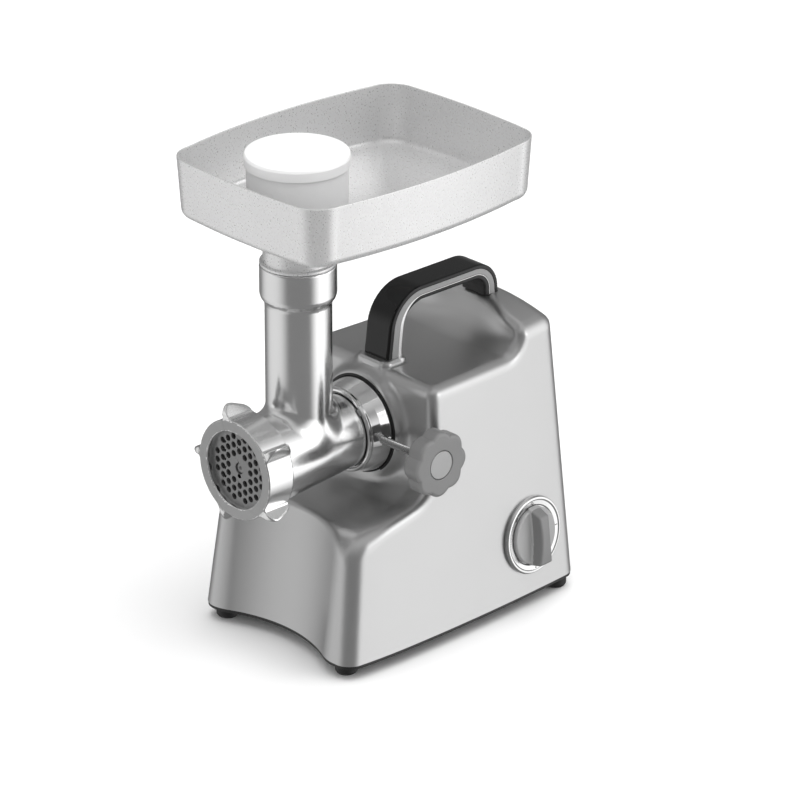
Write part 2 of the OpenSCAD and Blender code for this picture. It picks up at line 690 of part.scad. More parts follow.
module knife() color(steel) translate([0, 0, axis_z]) slab_y(-142, -134.2) difference() {
    union() {
        circle(9, $fn = fine);
        for (a = [0:90:270]) rotate(a) polygon([[0, -4.5], [28, -1], [29, 3], [0, 4.5]]);
    }
    circle(4.02, $fn = fine);
}
// Plate holes: rings of a hexagonal grid, clear of the centre and the rim
plate_holes = [for (i = [-6:6], j = [-6:6])
    let (x = hole_pitch * (i + j / 2), z = hole_pitch * j * sin(60), d = norm([x, z]))
    if (d > 8.8 && d < 25.3) [x, z]];
module grinding_plate() color([0.45, 0.46, 0.47]) translate([0, 0, axis_z])
    slab_y(plate_y, plate_y + plate_t) difference() {
        circle(plate_d / 2, $fn = fine);
        circle(4.06, $fn = fine);
        for (p = plate_holes) rotate(30) translate(p) circle(hole_d / 2, $fn = fine);
        translate([-1.9, -32]) square([3.8, 4.2]);
    }
module plate_key() color(steel) translate([-1.8, plate_y + 0.3, axis_z - 32.9]) cube([3.6, 4.8, 4.6]);

// Lug: a rib, upright on one flank and sloping on the other
lug_h = 10;
module lug_outline() {
    polygon([[nut_r - 2, -6.5], [nut_r + lug_h, -0.6], [nut_r + lug_h, 1.6], [nut_r - 2, 1.9]]);
}
// Height of the lugs along the axis
module lug_envelope() revolve_y(0, axis_z) polygon([[20, nose_y + 0.8], [nut_r + 0.5, nose_y + 0.8],
    [nut_r + 7, nose_y + 3], [nut_r + lug_h, nose_y + 7], [nut_r + 6, nose_y + 19],
    [nut_r + 0.5, nose_y + nut_len - 1], [20, nose_y + nut_len - 1]]);
module ring_nut() color(steel) difference() {
    union() {
        bar_y(0, axis_z, nut_r, nose_y, nose_y + nut_len);
        intersection() {
            translate([0, 0, axis_z]) slab_y(nose_y + 0.8, nose_y + nut_len - 1)
                for (i = [0:lugs - 1]) rotate(106 + i * 360 / lugs) lug_outline();
            lug_envelope();
        }
    }
    bar_y(0, axis_z, nut_open_r, nose_y - 1, nose_y + 10);
    bar_y(0, axis_z, thread_r + gap, plate_y - 0.05, nose_y + nut_len + 1);
}
knob_face = 93.5;
knob_t = 14;
knob_r = 24.6;
module at_screw() { translate([0, screw_y, axis_z]) rotate([0, 90, 0]) children(); }
module clamp_screw() color(steel) at_screw() {
    translate([0, 0, tail_r + 0.1])
        cylinder(h = knob_face - knob_t - tail_r + 5.9, r = screw_r, $fn = fine);
}
module star_knob() color([0.62, 0.62, 0.63]) at_screw() translate([0, 0, knob_face - knob_t])
    difference() {
        linear_extrude(knob_t) difference() {
            circle(knob_r, $fn = fine);
            for (a = [0:45:315]) rotate(a + 20) translate([knob_r + 7.5, 0]) circle(9.6, $fn = fine);
        }
        translate([0, 0, -1]) cylinder(h = 8, r = screw_r + gap, $fn = fine);
        translate([0, 0, knob_t - 1.4]) cylinder(h = 3, r = 10.6, $fn = fine);
    }
module star_knob_cap() color([0.7, 0.7, 0.7]) at_screw() translate([0, 0, knob_face - 1.4])
    cylinder(h = 1.2, r = 10.4, $fn = fine);

// ---------- tray and pusher ----------

// Plan outline of the tray, drawn in by t: bowed sides joined by round corners
tray_corner = 22;
tray_bow_x = 7.8;
tray_bow_y = 2.6;
tray_arc = 6;
tray_side = 5;
function tray_quarter(t) = let (
        hx = tray_half_x - t, hy = tray_half_y - t, r = tray_corner - t,
        cx = tray_half_x - tray_bow_x - tray_corner, cy = tray_half_y - tray_bow_y - tray_corner)
    concat(
        [for (i = [0:tray_side]) let (f = i / (tray_side + 1)) [hx - tray_bow_x * f * f, cy * f]],
        [for (i = [0:tray_arc]) let (a = 90 * i / tray_arc) [cx + r * cos(a), cy + r * sin(a)]],
        [for (i = [tray_side:-1:0]) let (f = i / (tray_side + 1)) [cx * f, hy - tray_bow_y * f * f]]);
function tray_ring(t) = let (q = tray_quarter(t), n = len(q))
    [each [for (p = q) [p[0], p[1] + tray_y]],
        each [for (i = [n - 2:-1:0]) [-q[i][0], q[i][1] + tray_y]],
        each [for (i = [1:n - 1]) [-q[i][0], tray_y - q[i][1]]],
        each [for (i = [n - 2:-1:1]) [q[i][0], tray_y - q[i][1]]]];
// Tray body from its floor (drawn in) to its rim
module tray_solid(t, z0, z1) {
    levels = [[15, 0], [7, 3], [3.6, 9], [0, 1000]];
    n = len(tray_ring(0));
    rings = [for (l = levels) let (z = min(z1, z0 + l[1])) [z, tray_ring(t + l[0])]];
    polyhedron(
        points = [for (r = rings) each [for (p = r[1]) [p[0], p[1], r[0]]]],
        faces = concat([[for (i = [0:n - 1]) i]], [[for (i = [n - 1:-1:0]) 3 * n + i]],
            [for (k = [0:2]) each [for (i = [0:n - 1])
                each [[k * n + i, (k + 1) * n + i, k * n + (i + 1) % n],
                    [k * n + (i + 1) % n, (k + 1) * n + i, (k + 1) * n + (i + 1) % n]]]]));
}
module tray() color([0.78, 0.78, 0.79]) difference() {
    union() {
        tray_solid(0, tray_z0, rim_z);
        translate([0, -throat_y, 0]) rotate_extrude($fn = fine)
            polygon([[0, 273], [neck_r, 273], [neck_r, mouth_z + 0.3], [27.2, mouth_z + 0.3],
                [27.2, mouth_z + 2.4], [neck_r + 0.6, mouth_z + 3], [neck_r + 0.6, tray_z0 - 3],
                [28, tray_z0 + 0.8], [0, tray_z0 + 0.8]]);
    }
    tray_solid(sheet, tray_z0 + sheet, rim_z + 0.01);
    translate([0, -throat_y, 0]) rotate_extrude($fn = fine)
        polygon([[0, 270], [22.6, 270], [22.6, tray_z0 - 4], [26.4, tray_z0 + 2], [0, tray_z0 + 2]]);
}
pusher_z0 = tray_z0 + sheet + 0.05;
module pusher_body() color([0.86, 0.86, 0.85]) translate([0, -throat_y, 0]) rotate_extrude($fn = fine)
    polygon([[0, 205], [17.8, 205], [19.4, 206.6], [shaft_r, tray_z0 - 14], [shaft_r, pusher_z0],
        [pusher_r - 1.2, pusher_z0], [pusher_r - 0.4, pusher_z0 + 1.5], [pusher_r, cap_z - 10],
        [pusher_r - 1, cap_z - 10], [pusher_r - 1, cap_z - 7], [pusher_r - 3, cap_z - 7],
        [pusher_r - 3, pusher_z0 + 3], [shaft_r - 2.2, pusher_z0 - 1],
        [shaft_r - 2.2, 208], [0, 208]]);
module pusher_cap() color([0.95, 0.95, 0.94]) translate([0, -throat_y, 0]) difference() {
    rotate_extrude($fn = fine) polygon([[0, cap_z - 9.9], [cap_r, cap_z - 9.9],
        [cap_r, cap_z - 3], [cap_r - 0.9, cap_z - 1.2], [cap_r - 3, cap_z - 0.2],
        [cap_r - 5, cap_z], [0, cap_z]]);
    translate([0, 0, cap_z - 12]) cylinder(h = 9, r = pusher_r - 0.9, $fn = fine);
}

placed() housing_shell();
placed() base_plate();
placed() feet();
placed() foot_screws();
placed() base_screws();
placed() handle_shell();
placed() handle_inlays();
placed() handle_core();
placed() handle_screws();
placed() cord_inlet();
placed() dial_bezel();
placed() selector_knob();
placed() selector_shaft();
placed() rotary_switch();
placed() switch_nut();
placed() control_board();
placed() board_screws();
placed() motor_stator();
placed() field_coils();
placed() rotor_core();
placed() rotor_shaft();
placed() commutator();
placed() brushes();
placed() brush_holders();
placed() motor_fan();
placed() motor_rear_bracket();
placed() motor_bearings();
placed() motor_spacers();
placed() motor_bolts();
placed() motor_pinion();
placed() gear_one();
placed() pinion_shaft_one();
placed() gear_two();
placed() pinion_shaft_two();
placed() output_gear();
placed() output_shaft();
placed() gear_bushes();
placed() output_bearings();
placed() gearbox_case();
placed() gearbox_cover();
placed() gearbox_screws();
placed() hub_collar();
placed() hub_seal();
placed() hub_screws();
placed() head_casting();
placed() head_key();
placed() auger();
placed() auger_washer();
placed() knife();
placed() grinding_plate();
placed() plate_key();
placed() ring_nut();
placed() clamp_screw();
placed() star_knob();
placed() star_knob_cap();
placed() tray();
placed() pusher_body();
placed() pusher_cap();
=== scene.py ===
import json
import math

import bmesh
import bpy
import numpy as np
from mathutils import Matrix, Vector
from mathutils.geometry import delaunay_2d_cdt

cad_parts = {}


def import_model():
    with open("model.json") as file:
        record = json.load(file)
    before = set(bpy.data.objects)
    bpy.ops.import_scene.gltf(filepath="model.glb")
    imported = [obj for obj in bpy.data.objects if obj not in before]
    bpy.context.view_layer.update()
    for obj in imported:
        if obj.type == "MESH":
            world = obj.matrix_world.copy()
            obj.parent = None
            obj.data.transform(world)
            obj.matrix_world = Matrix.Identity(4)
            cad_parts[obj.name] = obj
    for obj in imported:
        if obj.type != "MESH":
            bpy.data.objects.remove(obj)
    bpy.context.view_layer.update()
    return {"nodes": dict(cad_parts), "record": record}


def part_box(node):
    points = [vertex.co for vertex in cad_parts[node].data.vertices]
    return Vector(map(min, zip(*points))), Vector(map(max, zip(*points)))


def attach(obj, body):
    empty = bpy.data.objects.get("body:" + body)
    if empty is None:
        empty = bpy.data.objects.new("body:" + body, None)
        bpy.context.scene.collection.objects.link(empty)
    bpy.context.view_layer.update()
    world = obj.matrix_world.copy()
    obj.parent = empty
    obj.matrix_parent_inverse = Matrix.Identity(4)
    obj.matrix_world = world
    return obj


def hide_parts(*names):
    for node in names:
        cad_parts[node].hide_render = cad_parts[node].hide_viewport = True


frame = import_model()

# The drawing's millimetres start at the middle of the feet, on the floor
FEET_LO, FEET_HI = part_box("feet")
ORIGIN = np.array([(FEET_LO.x + FEET_HI.x) / 2, (FEET_LO.y + FEET_HI.y) / 2, 0.0])
AXIS_Z = 150.7
THROAT_Y = -90.0
NOSE_Y = -151.9
NUT_R = 37.1
BODY_Z = 12.0
DECK_Z = 194.0
CROWN = 221.0
CROWN_BOW = 370
FOOT_X, FOOT_Y = 63.3, 104.2
CASING_LEAN = 0.086


# ---------------------------------------------------------------- mesh helpers

def basis(origin, u, v, w):
    """A place and three directions: local (u, v, w) become millimetres of the drawing."""
    return np.array(origin, float), np.array([u, v, w], float)


UPRIGHT = basis((0, 0, 0), (1, 0, 0), (0, 1, 0), (0, 0, 1))
THROAT = basis((0, THROAT_Y, 0), (1, 0, 0), (0, 1, 0), (0, 0, 1))
BARREL = basis((0, 0, AXIS_Z), (1, 0, 0), (0, 0, 1), (0, 1, 0))
SCREW = basis((0, -40, AXIS_Z), (0, 1, 0), (0, 0, 1), (1, 0, 0))
INLET = basis((-45, 0, 32), (1, 0, 0), (0, 0, 1), (0, 1, 0))


def dial_basis():
    tilt, yaw = math.atan(CASING_LEAN), math.radians(4.1)
    w = np.array([math.cos(tilt) * math.cos(yaw), math.cos(tilt) * math.sin(yaw), math.sin(tilt)])
    u = np.cross([0, 0, 1], w)
    u /= np.linalg.norm(u)
    return basis((74.6, 68, 56), u, np.cross(w, u), w)


DIAL = dial_basis()


def to_world(points, frame_of=UPRIGHT):
    origin, axes = frame_of
    return (origin + np.asarray(points, float) @ axes) * 0.001 + ORIGIN


def solid(name, points, faces, where=UPRIGHT, recalc=True):
    """A mesh object in the scene, its faces turned outwards unless they already are."""
    mesh = bpy.data.meshes.new(name)
    mesh.from_pydata(to_world(points, where).tolist(), [], [list(map(int, f)) for f in faces])
    if recalc:
        bm = bmesh.new()
        bm.from_mesh(mesh)
        bmesh.ops.recalc_face_normals(bm, faces=bm.faces)
        bm.to_mesh(mesh)
        bm.free()
    ob = bpy.data.objects.new(name, mesh)
    bpy.context.scene.collection.objects.link(ob)
    return ob


def make(name, points, faces, material, body, nodes=(), slot=None, where=UPRIGHT,
         normals=None, angle=32, weighted=True, recalc=True):
    """A mesh piece in its body, standing for the CAD nodes given."""
    piece = solid(name, points, faces, where, recalc)
    mesh = piece.data
    mesh.materials.append(material)
    mesh.shade_smooth()
    if normals is not None:
        origin, axes = where
        mesh.normals_split_custom_set_from_vertices((np.asarray(normals) @ axes).tolist())
    else:
        mesh.set_sharp_from_angle(angle=math.radians(angle))
        if weighted:
            piece.modifiers.new("weighted", "WEIGHTED_NORMAL").keep_sharp = True
    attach(piece, body)
    if nodes:
        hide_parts(*nodes)
    return piece


def soft(points, closed=False, steps=5):
    """A line of (a, b, radius) points with each corner rounded to its radius."""
    out, n = [], len(points)
    for i, p in enumerate(points):
        here, r = np.array(p[:2], float), (p[2] if len(p) > 2 else 0)
        if r <= 0 or (not closed and i in (0, n - 1)):
            out.append(here)
            continue
        a = np.array(points[i - 1][:2], float) - here
        b = np.array(points[(i + 1) % n][:2], float) - here
        la, lb = np.linalg.norm(a), np.linalg.norm(b)
        a, b = a / la, b / lb
        half = math.acos(max(-1, min(1, float(a @ b)))) / 2
        reach = min(r / max(math.tan(half), 1e-6), la * 0.49, lb * 0.49)
        r = reach * math.tan(half)
        middle = a + b
        size = np.linalg.norm(middle)
        if size < 1e-6:
            out.append(here)
            continue
        centre = here + middle / size * (r / math.sin(half))
        s, e = here + a * reach - centre, here + b * reach - centre
        turn = math.atan2(s[0] * e[1] - s[1] * e[0], float(s @ e))
        for k in range(steps + 1):
            t = turn * k / steps
            out.append(centre + np.array([s[0] * math.cos(t) - s[1] * math.sin(t),
                                          s[0] * math.sin(t) + s[1] * math.cos(t)]))
    return np.array(out)


def rings_mesh(rings, wrap=False, cap_start=False, cap_end=False):
    """Quads between rings of equal length; wrap joins the last ring to the first."""
    n, m = len(rings[0]), len(rings)
    points = np.concatenate(rings)
    faces = []
    for k in range(m if wrap else m - 1):
        a, b = k * n, (k + 1) % m * n
        faces += [(a + i, a + (i + 1) % n, b + (i + 1) % n, b + i) for i in range(n)]
    if cap_start:
        faces.append(tuple(range(n)))
    if cap_end:
        faces.append(tuple(range((m - 1) * n, m * n)))
    return points, faces


def lathe(profile, n=96, closed=True):
    """A solid of revolution about w, from a profile of (radius, height)."""
    t = np.linspace(0, 2 * math.pi, n, endpoint=False)
    points, faces, rows = [], [], []
    for r, h in profile:
        if r < 1e-6:
            rows.append([len(points)])
            points.append((0, 0, h))
        else:
            rows.append(list(range(len(points), len(points) + n)))
            points += [(r * c, r * s, h) for c, s in zip(np.cos(t), np.sin(t))]
    pairs = list(zip(rows, rows[1:])) + ([(rows[-1], rows[0])] if closed and len(rows[0]) > 1 else [])
    for a, b in pairs:
        for i in range(n):
            j = (i + 1) % n
            quad = [a[i % len(a)], a[j % len(a)], b[j % len(b)], b[i % len(b)]]
            face = tuple(dict.fromkeys(quad))
            if len(face) > 2:
                faces.append(face)
    return np.array(points, float), faces


def inset(loop, d):
    """A closed loop moved by d to its left, which is into the material."""
    e = np.roll(loop, -1, 0) - loop
    e /= np.linalg.norm(e, axis=1)[:, None]
    left = np.stack([-e[:, 1], e[:, 0]], 1)
    m = left + np.roll(left, 1, 0)
    m /= np.maximum((m * left).sum(1), 0.3)[:, None]
    return loop + m * d


def prism(loops, h0, h1, round_by=0.8, steps=3):
    """A round-edged plate: outline loops[0] anticlockwise, holes loops[1:] clockwise."""
    levels = [(round_by * (1 - math.sin(a)), h0 + round_by * (1 - math.cos(a)))
              for a in np.linspace(0, math.pi / 2, steps + 1)]
    levels += [(d, h0 + h1 - h) for d, h in reversed(levels)]
    points, faces, ends = [], [], ([], [])
    start = 0
    for loop in loops:
        n = len(loop)
        for d, h in levels:
            ring = inset(loop, d)
            points.append(np.column_stack([ring, np.full(n, h)]))
        for k in range(len(levels) - 1):
            a, b = start + k * n, start + (k + 1) * n
            faces += [(a + i, a + (i + 1) % n, b + (i + 1) % n, b + i) for i in range(n)]
        ends[0].append(list(range(start, start + n)))
        ends[1].append(list(range(start + (len(levels) - 1) * n, start + len(levels) * n)))
        start += len(levels) * n
    points = np.concatenate(points)
    for end in ends:
        if len(loops) == 1:
            faces.append(tuple(end[0]))
            continue
        ids = [i for loop in end for i in loop]
        flat = [Vector(points[i][:2]) for i in ids]
        edges, at = [], 0
        for loop in end:
            edges += [(at + i, at + (i + 1) % len(loop)) for i in range(len(loop))]
            at += len(loop)
        got = delaunay_2d_cdt(flat, edges, [], 0, 1e-5)
        holes = []
        for loop in end[1:]:
            centre = points[loop][:, :2].mean(0)
            holes.append((centre, np.linalg.norm(points[loop[0]][:2] - centre)))
        middle = np.array([[sum(got[0][i][k] for i in f) / 3 for k in (0, 1)] for f in got[2]])
        keep = np.ones(len(middle), bool)
        for c, r in holes:
            keep &= np.linalg.norm(middle - c, axis=1) > r * 0.97
        for f, k in zip(got[2], keep):
            if k:
                faces.append(tuple(ids[got[3][i][0]] for i in f))
    return points, faces


def several(parts):
    """Parts of one piece, joined into a single list of points and faces."""
    points, faces, at = [], [], 0
    for p, f in parts:
        points.append(p)
        faces += [tuple(i + at for i in face) for face in f]
        at += len(p)
    return np.concatenate(points), faces


def circle(cx, cy, r, n=32, clockwise=False):
    t = np.linspace(0, 2 * math.pi, n, endpoint=False) * (-1 if clockwise else 1)
    return np.column_stack([cx + r * np.cos(t), cy + r * np.sin(t)])


# ------------------------------------------------- surfaces from distance fields

def cut(a, b, r):
    """Intersection of two fields with a rounded edge."""
    return np.minimum(np.maximum(a, b), -r) + np.hypot(np.maximum(a + r, 0), np.maximum(b + r, 0))


def join(a, b, r):
    """Union of two fields with a fillet."""
    return -cut(-a, -b, r)


def ease(x, a, b):
    t = np.clip((x - a) / (b - a), 0, 1)
    return t * t * (3 - 2 * t)


def slope(f, p, d=0.02):
    g = np.empty_like(p)
    for k in range(3):
        step = np.zeros(3)
        step[k] = d
        g[:, k] = (f(p + step) - f(p - step)) / (2 * d)
    return g


def skin(f, lo, hi, cell, open_below=False, relax=4):
    """Quads on the surface where f is zero, with the field's own normals."""
    lo = np.array(lo, float)
    n = np.ceil((np.array(hi) - lo) / cell).astype(int) + 1
    grid = np.stack(np.meshgrid(*[lo[k] + cell * np.arange(n[k]) for k in range(3)], indexing="ij"), -1)
    v = f(grid.reshape(-1, 3)).reshape(n)
    inside = v < 0
    corners = [(i, j, k) for i in (0, 1) for j in (0, 1) for k in (0, 1)]

    def at(a, c):
        return a[c[0]:n[0] - 1 + c[0], c[1]:n[1] - 1 + c[1], c[2]:n[2] - 1 + c[2]]
    count = sum(at(inside, c).astype(int) for c in corners)
    active = (count > 0) & (count < 8)
    ids = np.full(n - 1, -1)
    cells = np.argwhere(active)
    ids[active] = np.arange(len(cells))
    total, hits = np.zeros((len(cells), 3)), np.zeros(len(cells))
    for a in corners:
        for k in range(3):
            if a[k]:
                continue
            b = tuple(1 if m == k else a[m] for m in range(3))
            va, vb = at(v, a)[active], at(v, b)[active]
            crossing = (va < 0) != (vb < 0)
            t = va / np.where(crossing, va - vb, 1)
            place = np.array(a, float) + np.eye(3)[k] * t[:, None]
            total[crossing] += place[crossing]
            hits[crossing] += 1
    p = lo + cell * (cells + total / hits[:, None])
    quads = []
    for k in range(3):
        a, b = (k + 1) % 3, (k + 2) % 3
        first = [slice(1, n[m] - 1) for m in range(3)]
        first[k] = slice(0, n[k] - 1)
        second = list(first)
        second[k] = slice(1, n[k])
        s, e = inside[tuple(first)], inside[tuple(second)]
        spot = np.argwhere(s != e)
        turned = s[s != e]
        base = spot + np.array([0 if m == k else 1 for m in range(3)])
        ring = []
        for da, db in ((0, 0), (-1, 0), (-1, -1), (0, -1)):
            c = base.copy()
            c[:, a] += da
            c[:, b] += db
            ring.append(ids[c[:, 0], c[:, 1], c[:, 2]])
        ring = np.stack(ring, 1)
        quads.append(np.where(turned[:, None], ring[:, ::-1], ring)[:, ::-1])
    quads = np.concatenate(quads)
    rim = (cells[:, 2] == 0) if open_below else np.zeros(len(cells), bool)

    def settle(p, rounds):
        for _ in range(rounds):
            g = slope(f, p)
            g[rim, 2] = 0
            p = p - g * (f(p) / np.maximum((g * g).sum(1), 0.05))[:, None].clip(-cell, cell)
        return p
    p[rim, 2] = lo[2]
    p = settle(p, 3)
    edges = np.concatenate([quads[:, [i, (i + 1) % 4]] for i in range(4)])
    degree = np.bincount(edges.ravel(), minlength=len(p)).astype(float)
    for _ in range(relax):
        around = np.zeros_like(p)
        for k in range(3):
            around[:, k] = (np.bincount(edges[:, 0], p[edges[:, 1], k], len(p))
                            + np.bincount(edges[:, 1], p[edges[:, 0], k], len(p)))
        move = around / np.maximum(degree, 1)[:, None] - p
        move[rim] = 0
        p = settle(p + 0.6 * move, 1)
    p = settle(p, 2)
    g = slope(f, p)
    return p, quads, g / np.linalg.norm(g, axis=1)[:, None]


# ------------------------------------------------------------------- materials

def noise(nodes, links, coords, scale, stretch, detail=3):
    mapping = nodes.new("ShaderNodeMapping")
    mapping.inputs["Scale"].default_value = stretch
    links.new(coords, mapping.inputs["Vector"])
    n = nodes.new("ShaderNodeTexNoise")
    n.inputs["Scale"].default_value = scale
    n.inputs["Detail"].default_value = detail
    links.new(mapping.outputs["Vector"], n.inputs["Vector"])
    return n.outputs["Fac"]


def span(nodes, links, value, low, high):
    m = nodes.new("ShaderNodeMapRange")
    m.inputs["From Min"].default_value = 0.3
    m.inputs["From Max"].default_value = 0.7
    m.inputs["To Min"].default_value = low
    m.inputs["To Max"].default_value = high
    links.new(value, m.inputs["Value"])
    return m.outputs["Result"]


def material(name, color, metallic=0.0, rough=0.4, vary=0.04, scale=300, stretch=(1, 1, 1),
             bump=0.0, tone=0.03, coat=0.0, see_through=0.0, specular=0.5):
    """A finish: colour with a slight tone change, roughness that varies, and a fine relief."""
    m = bpy.data.materials.new(name)
    m.use_nodes = True
    nodes, links = m.node_tree.nodes, m.node_tree.links
    shader = nodes["Principled BSDF"]
    coords = nodes.new("ShaderNodeTexCoord").outputs["Object"]
    fine = noise(nodes, links, coords, scale, stretch)
    broad = noise(nodes, links, coords, 14, (1, 1, 1), 2)
    shader.inputs["Metallic"].default_value = metallic
    shader.inputs["Specular IOR Level"].default_value = specular
    shader.inputs["Coat Weight"].default_value = coat
    shader.inputs["Coat Roughness"].default_value = 0.08
    shader.inputs["Subsurface Weight"].default_value = see_through
    shader.inputs["Subsurface Radius"].default_value = (0.006, 0.006, 0.006)
    links.new(span(nodes, links, fine, max(rough - vary, 0.02), rough + vary), shader.inputs["Roughness"])
    mix = nodes.new("ShaderNodeMix")
    mix.data_type = "RGBA"
    mix.inputs["A"].default_value = (*[c * (1 - tone) for c in color], 1)
    mix.inputs["B"].default_value = (*[min(c * (1 + tone), 1) for c in color], 1)
    links.new(span(nodes, links, broad, 0, 1), mix.inputs["Factor"])
    links.new(mix.outputs["Result"], shader.inputs["Base Color"])
    if bump:
        relief = nodes.new("ShaderNodeBump")
        relief.inputs["Strength"].default_value = bump
        relief.inputs["Distance"].default_value = 0.0002
        links.new(fine, relief.inputs["Height"])
        links.new(relief.outputs["Normal"], shader.inputs["Normal"])
    return m


def grey(v, warm=0.0):
    return (v * (1 + warm), v, v * (1 - warm))


MAT = {
    "casing": material("casing", grey(0.53), 0.92, 0.34, 0.03, 1500, bump=0.04, tone=0.01),
    "black_plastic": material("black_plastic", grey(0.012), 0, 0.45, scale=900, bump=0.1),
    "black_gloss": material("black_gloss", grey(0.003), 0, 0.10, 0.02, coat=0.3, specular=0.2),
    "grey_inlay": material("grey_inlay", grey(0.30), 0.3, 0.42, bump=0.05, scale=1200),
    "rubber": material("rubber", grey(0.010), 0, 0.6, scale=700, bump=0.12),
    "fastener_steel": material("fastener_steel", grey(0.55), 1, 0.32),
    "bright_ring": material("bright_ring", grey(0.72), 1, 0.18, 0.02),
    "knob_grey": material("knob_grey", grey(0.19), 0.2, 0.42, scale=1500, bump=0.06),
    "knob_disc": material("knob_disc", grey(0.31), 0.2, 0.36, scale=1500, bump=0.03),
    "dark_plastic": material("dark_plastic", grey(0.03), 0, 0.5, bump=0.05),
    "board_green": material("board_green", (0.02, 0.12, 0.05), 0, 0.4, bump=0.05),
    "lamination": material("lamination", grey(0.32), 1, 0.42, scale=60, stretch=(0.1, 30, 0.1), bump=0.3),
    "copper": material("copper", (0.55, 0.2, 0.08), 0.9, 0.35, scale=300, stretch=(1, 12, 1), bump=0.4),
    "carbon": material("carbon", grey(0.02), 0.2, 0.5, bump=0.1),
    "brass": material("brass", (0.65, 0.45, 0.16), 1, 0.3),
    "steel": material("steel", grey(0.58), 1, 0.26),
    "nylon": material("nylon", (0.78, 0.75, 0.64), 0, 0.42, see_through=0.2),
    "bronze": material("bronze", (0.42, 0.24, 0.1), 1, 0.45, bump=0.1),
    "diecast": material("diecast", grey(0.45), 0.9, 0.5, scale=900, bump=0.2),
    "head_metal": material("head_metal", grey(0.86), 1, 0.21, 0.03, 500, bump=0.02),
    "chrome": material("chrome", grey(0.86), 1, 0.10, 0.02, bump=0.01),
    "seal_black": material("seal_black", grey(0.012), 0, 0.5),
    "auger_cast": material("auger_cast", grey(0.32), 1, 0.45, bump=0.15, scale=500),
    "plate_steel": material("plate_steel", grey(0.26), 0.85, 0.4, scale=900, bump=0.08),
    "knife_steel": material("knife_steel", grey(0.55), 1, 0.28, scale=300, stretch=(8, 1, 1), bump=0.08),
    "tray_metal": material("tray_metal", grey(0.74), 0.62, 0.30, 0.04, 900, bump=0.04, tone=0.01),
    "pusher_grey": material("pusher_grey", grey(0.80), 0, 0.36, see_through=0.3),
    "pusher_white": material("pusher_white", grey(0.88), 0, 0.35, see_through=0.2),
}
NUT_FACE = material("nut_face", grey(0.36), 0.85, 0.38, 0.03, 900, bump=0.06)
BRIGHT_LINE = material("bright_line", grey(0.7), 1, 0.2)
DIAL_DISC = material("dial_disc", grey(0.33), 0.25, 0.4, scale=1500, bump=0.05)
PRINT = material("print", grey(0.05), 0, 0.5)

for part in frame["record"]["subparts"]:
    cad = frame["nodes"][part["node"]]
    cad.data.materials.clear()
    cad.data.materials.append(MAT[part["material_slot"]])


# ---------------------------------------------------------------------- casing

def side_half(x, y):
    w = y + 60
    return 83 - np.where(w < 0, np.where(x < 0, 0.00234, 0.00095), 0.00028) * w * w


def casing(p):
    x, y, z = np.abs(p[:, 0]), p[:, 1], p[:, 2]
    h = z - BODY_Z
    side = (x - side_half(p[:, 0], y) + CASING_LEAN * h) * 0.996
    front = (-118.5 + 0.134 * h - y) * 0.991
    rear = y - 116 + 0.045 * h
    flank = ease(x, 46, 72)
    nose = (z - (104 + 0.048 * (y + 92)) * (1 - flank) - (102.6 + 0.2077 * (y + 97.4)) * flank) * 0.98
    block = -27.1 + 0.0354 * (z - 110) - y
    steep = ease(x, 8, 44)
    tilt = 0.62 - 0.42 * steep
    ramp = (73.2 - 3.4 * steep + tilt * (z - 206) - y) / np.sqrt(1 + tilt * tilt)
    raised = cut(z - CROWN + x * x / CROWN_BOW, ramp, 6)
    top = join(z - DECK_Z, raised, 13)
    lower = cut(front, nose, 15)
    upper = cut(block, top, 8)
    body = cut(join(lower, upper, 20), side, 8 + 3.5 * ease(-y, 70, 100))
    body = cut(body, rear, 12)
    hollow = 113 - np.hypot(x, (y + 217.2 - 0.134 * h) * 0.991)
    body = cut(body, hollow, 3.2)
    boss = cut(cut(np.hypot(x, z - AXIS_Z) - 40, -32 - y, 3.5), y + 18, 1)
    body = join(body, boss, 7)
    pad = cut(cut(x - 16.5, np.abs(y + 10.5) - 12.0, 7), np.abs(z - 190) - 8, 1.2)
    return join(body, pad, 1.5)


def solid_after(piece):
    """Applies the piece's modifiers to its mesh."""
    dg = bpy.context.evaluated_depsgraph_get()
    mesh = bpy.data.meshes.new_from_object(piece.evaluated_get(dg))
    piece.modifiers.clear()
    piece.data = mesh


def subtract(piece, tools):
    for t in tools:
        m = piece.modifiers.new("cut", "BOOLEAN")
        m.operation = "DIFFERENCE"
        m.solver = "MANIFOLD"
        m.object = t
    solid_after(piece)
    for t in tools:
        bpy.data.objects.remove(t)


def slot_loop(cx, cz, half_w, half_h, n=8):
    top = [(cx + half_w * math.cos(t), cz + half_h - half_w + half_w * math.sin(t))
           for t in np.linspace(0, math.pi, n)]
    low = [(cx + half_w * math.cos(t), cz - half_h + half_w + half_w * math.sin(t))
           for t in np.linspace(math.pi, 2 * math.pi, n)]
    return np.array(top + low)


def bar_tool(name, r, h0, h1, where, n=48):
    rings = [np.column_stack([circle(0, 0, r, n), np.full(n, h)]) for h in (h0, h1)]
    return solid(name, *rings_mesh(rings, cap_start=True, cap_end=True), where=where)


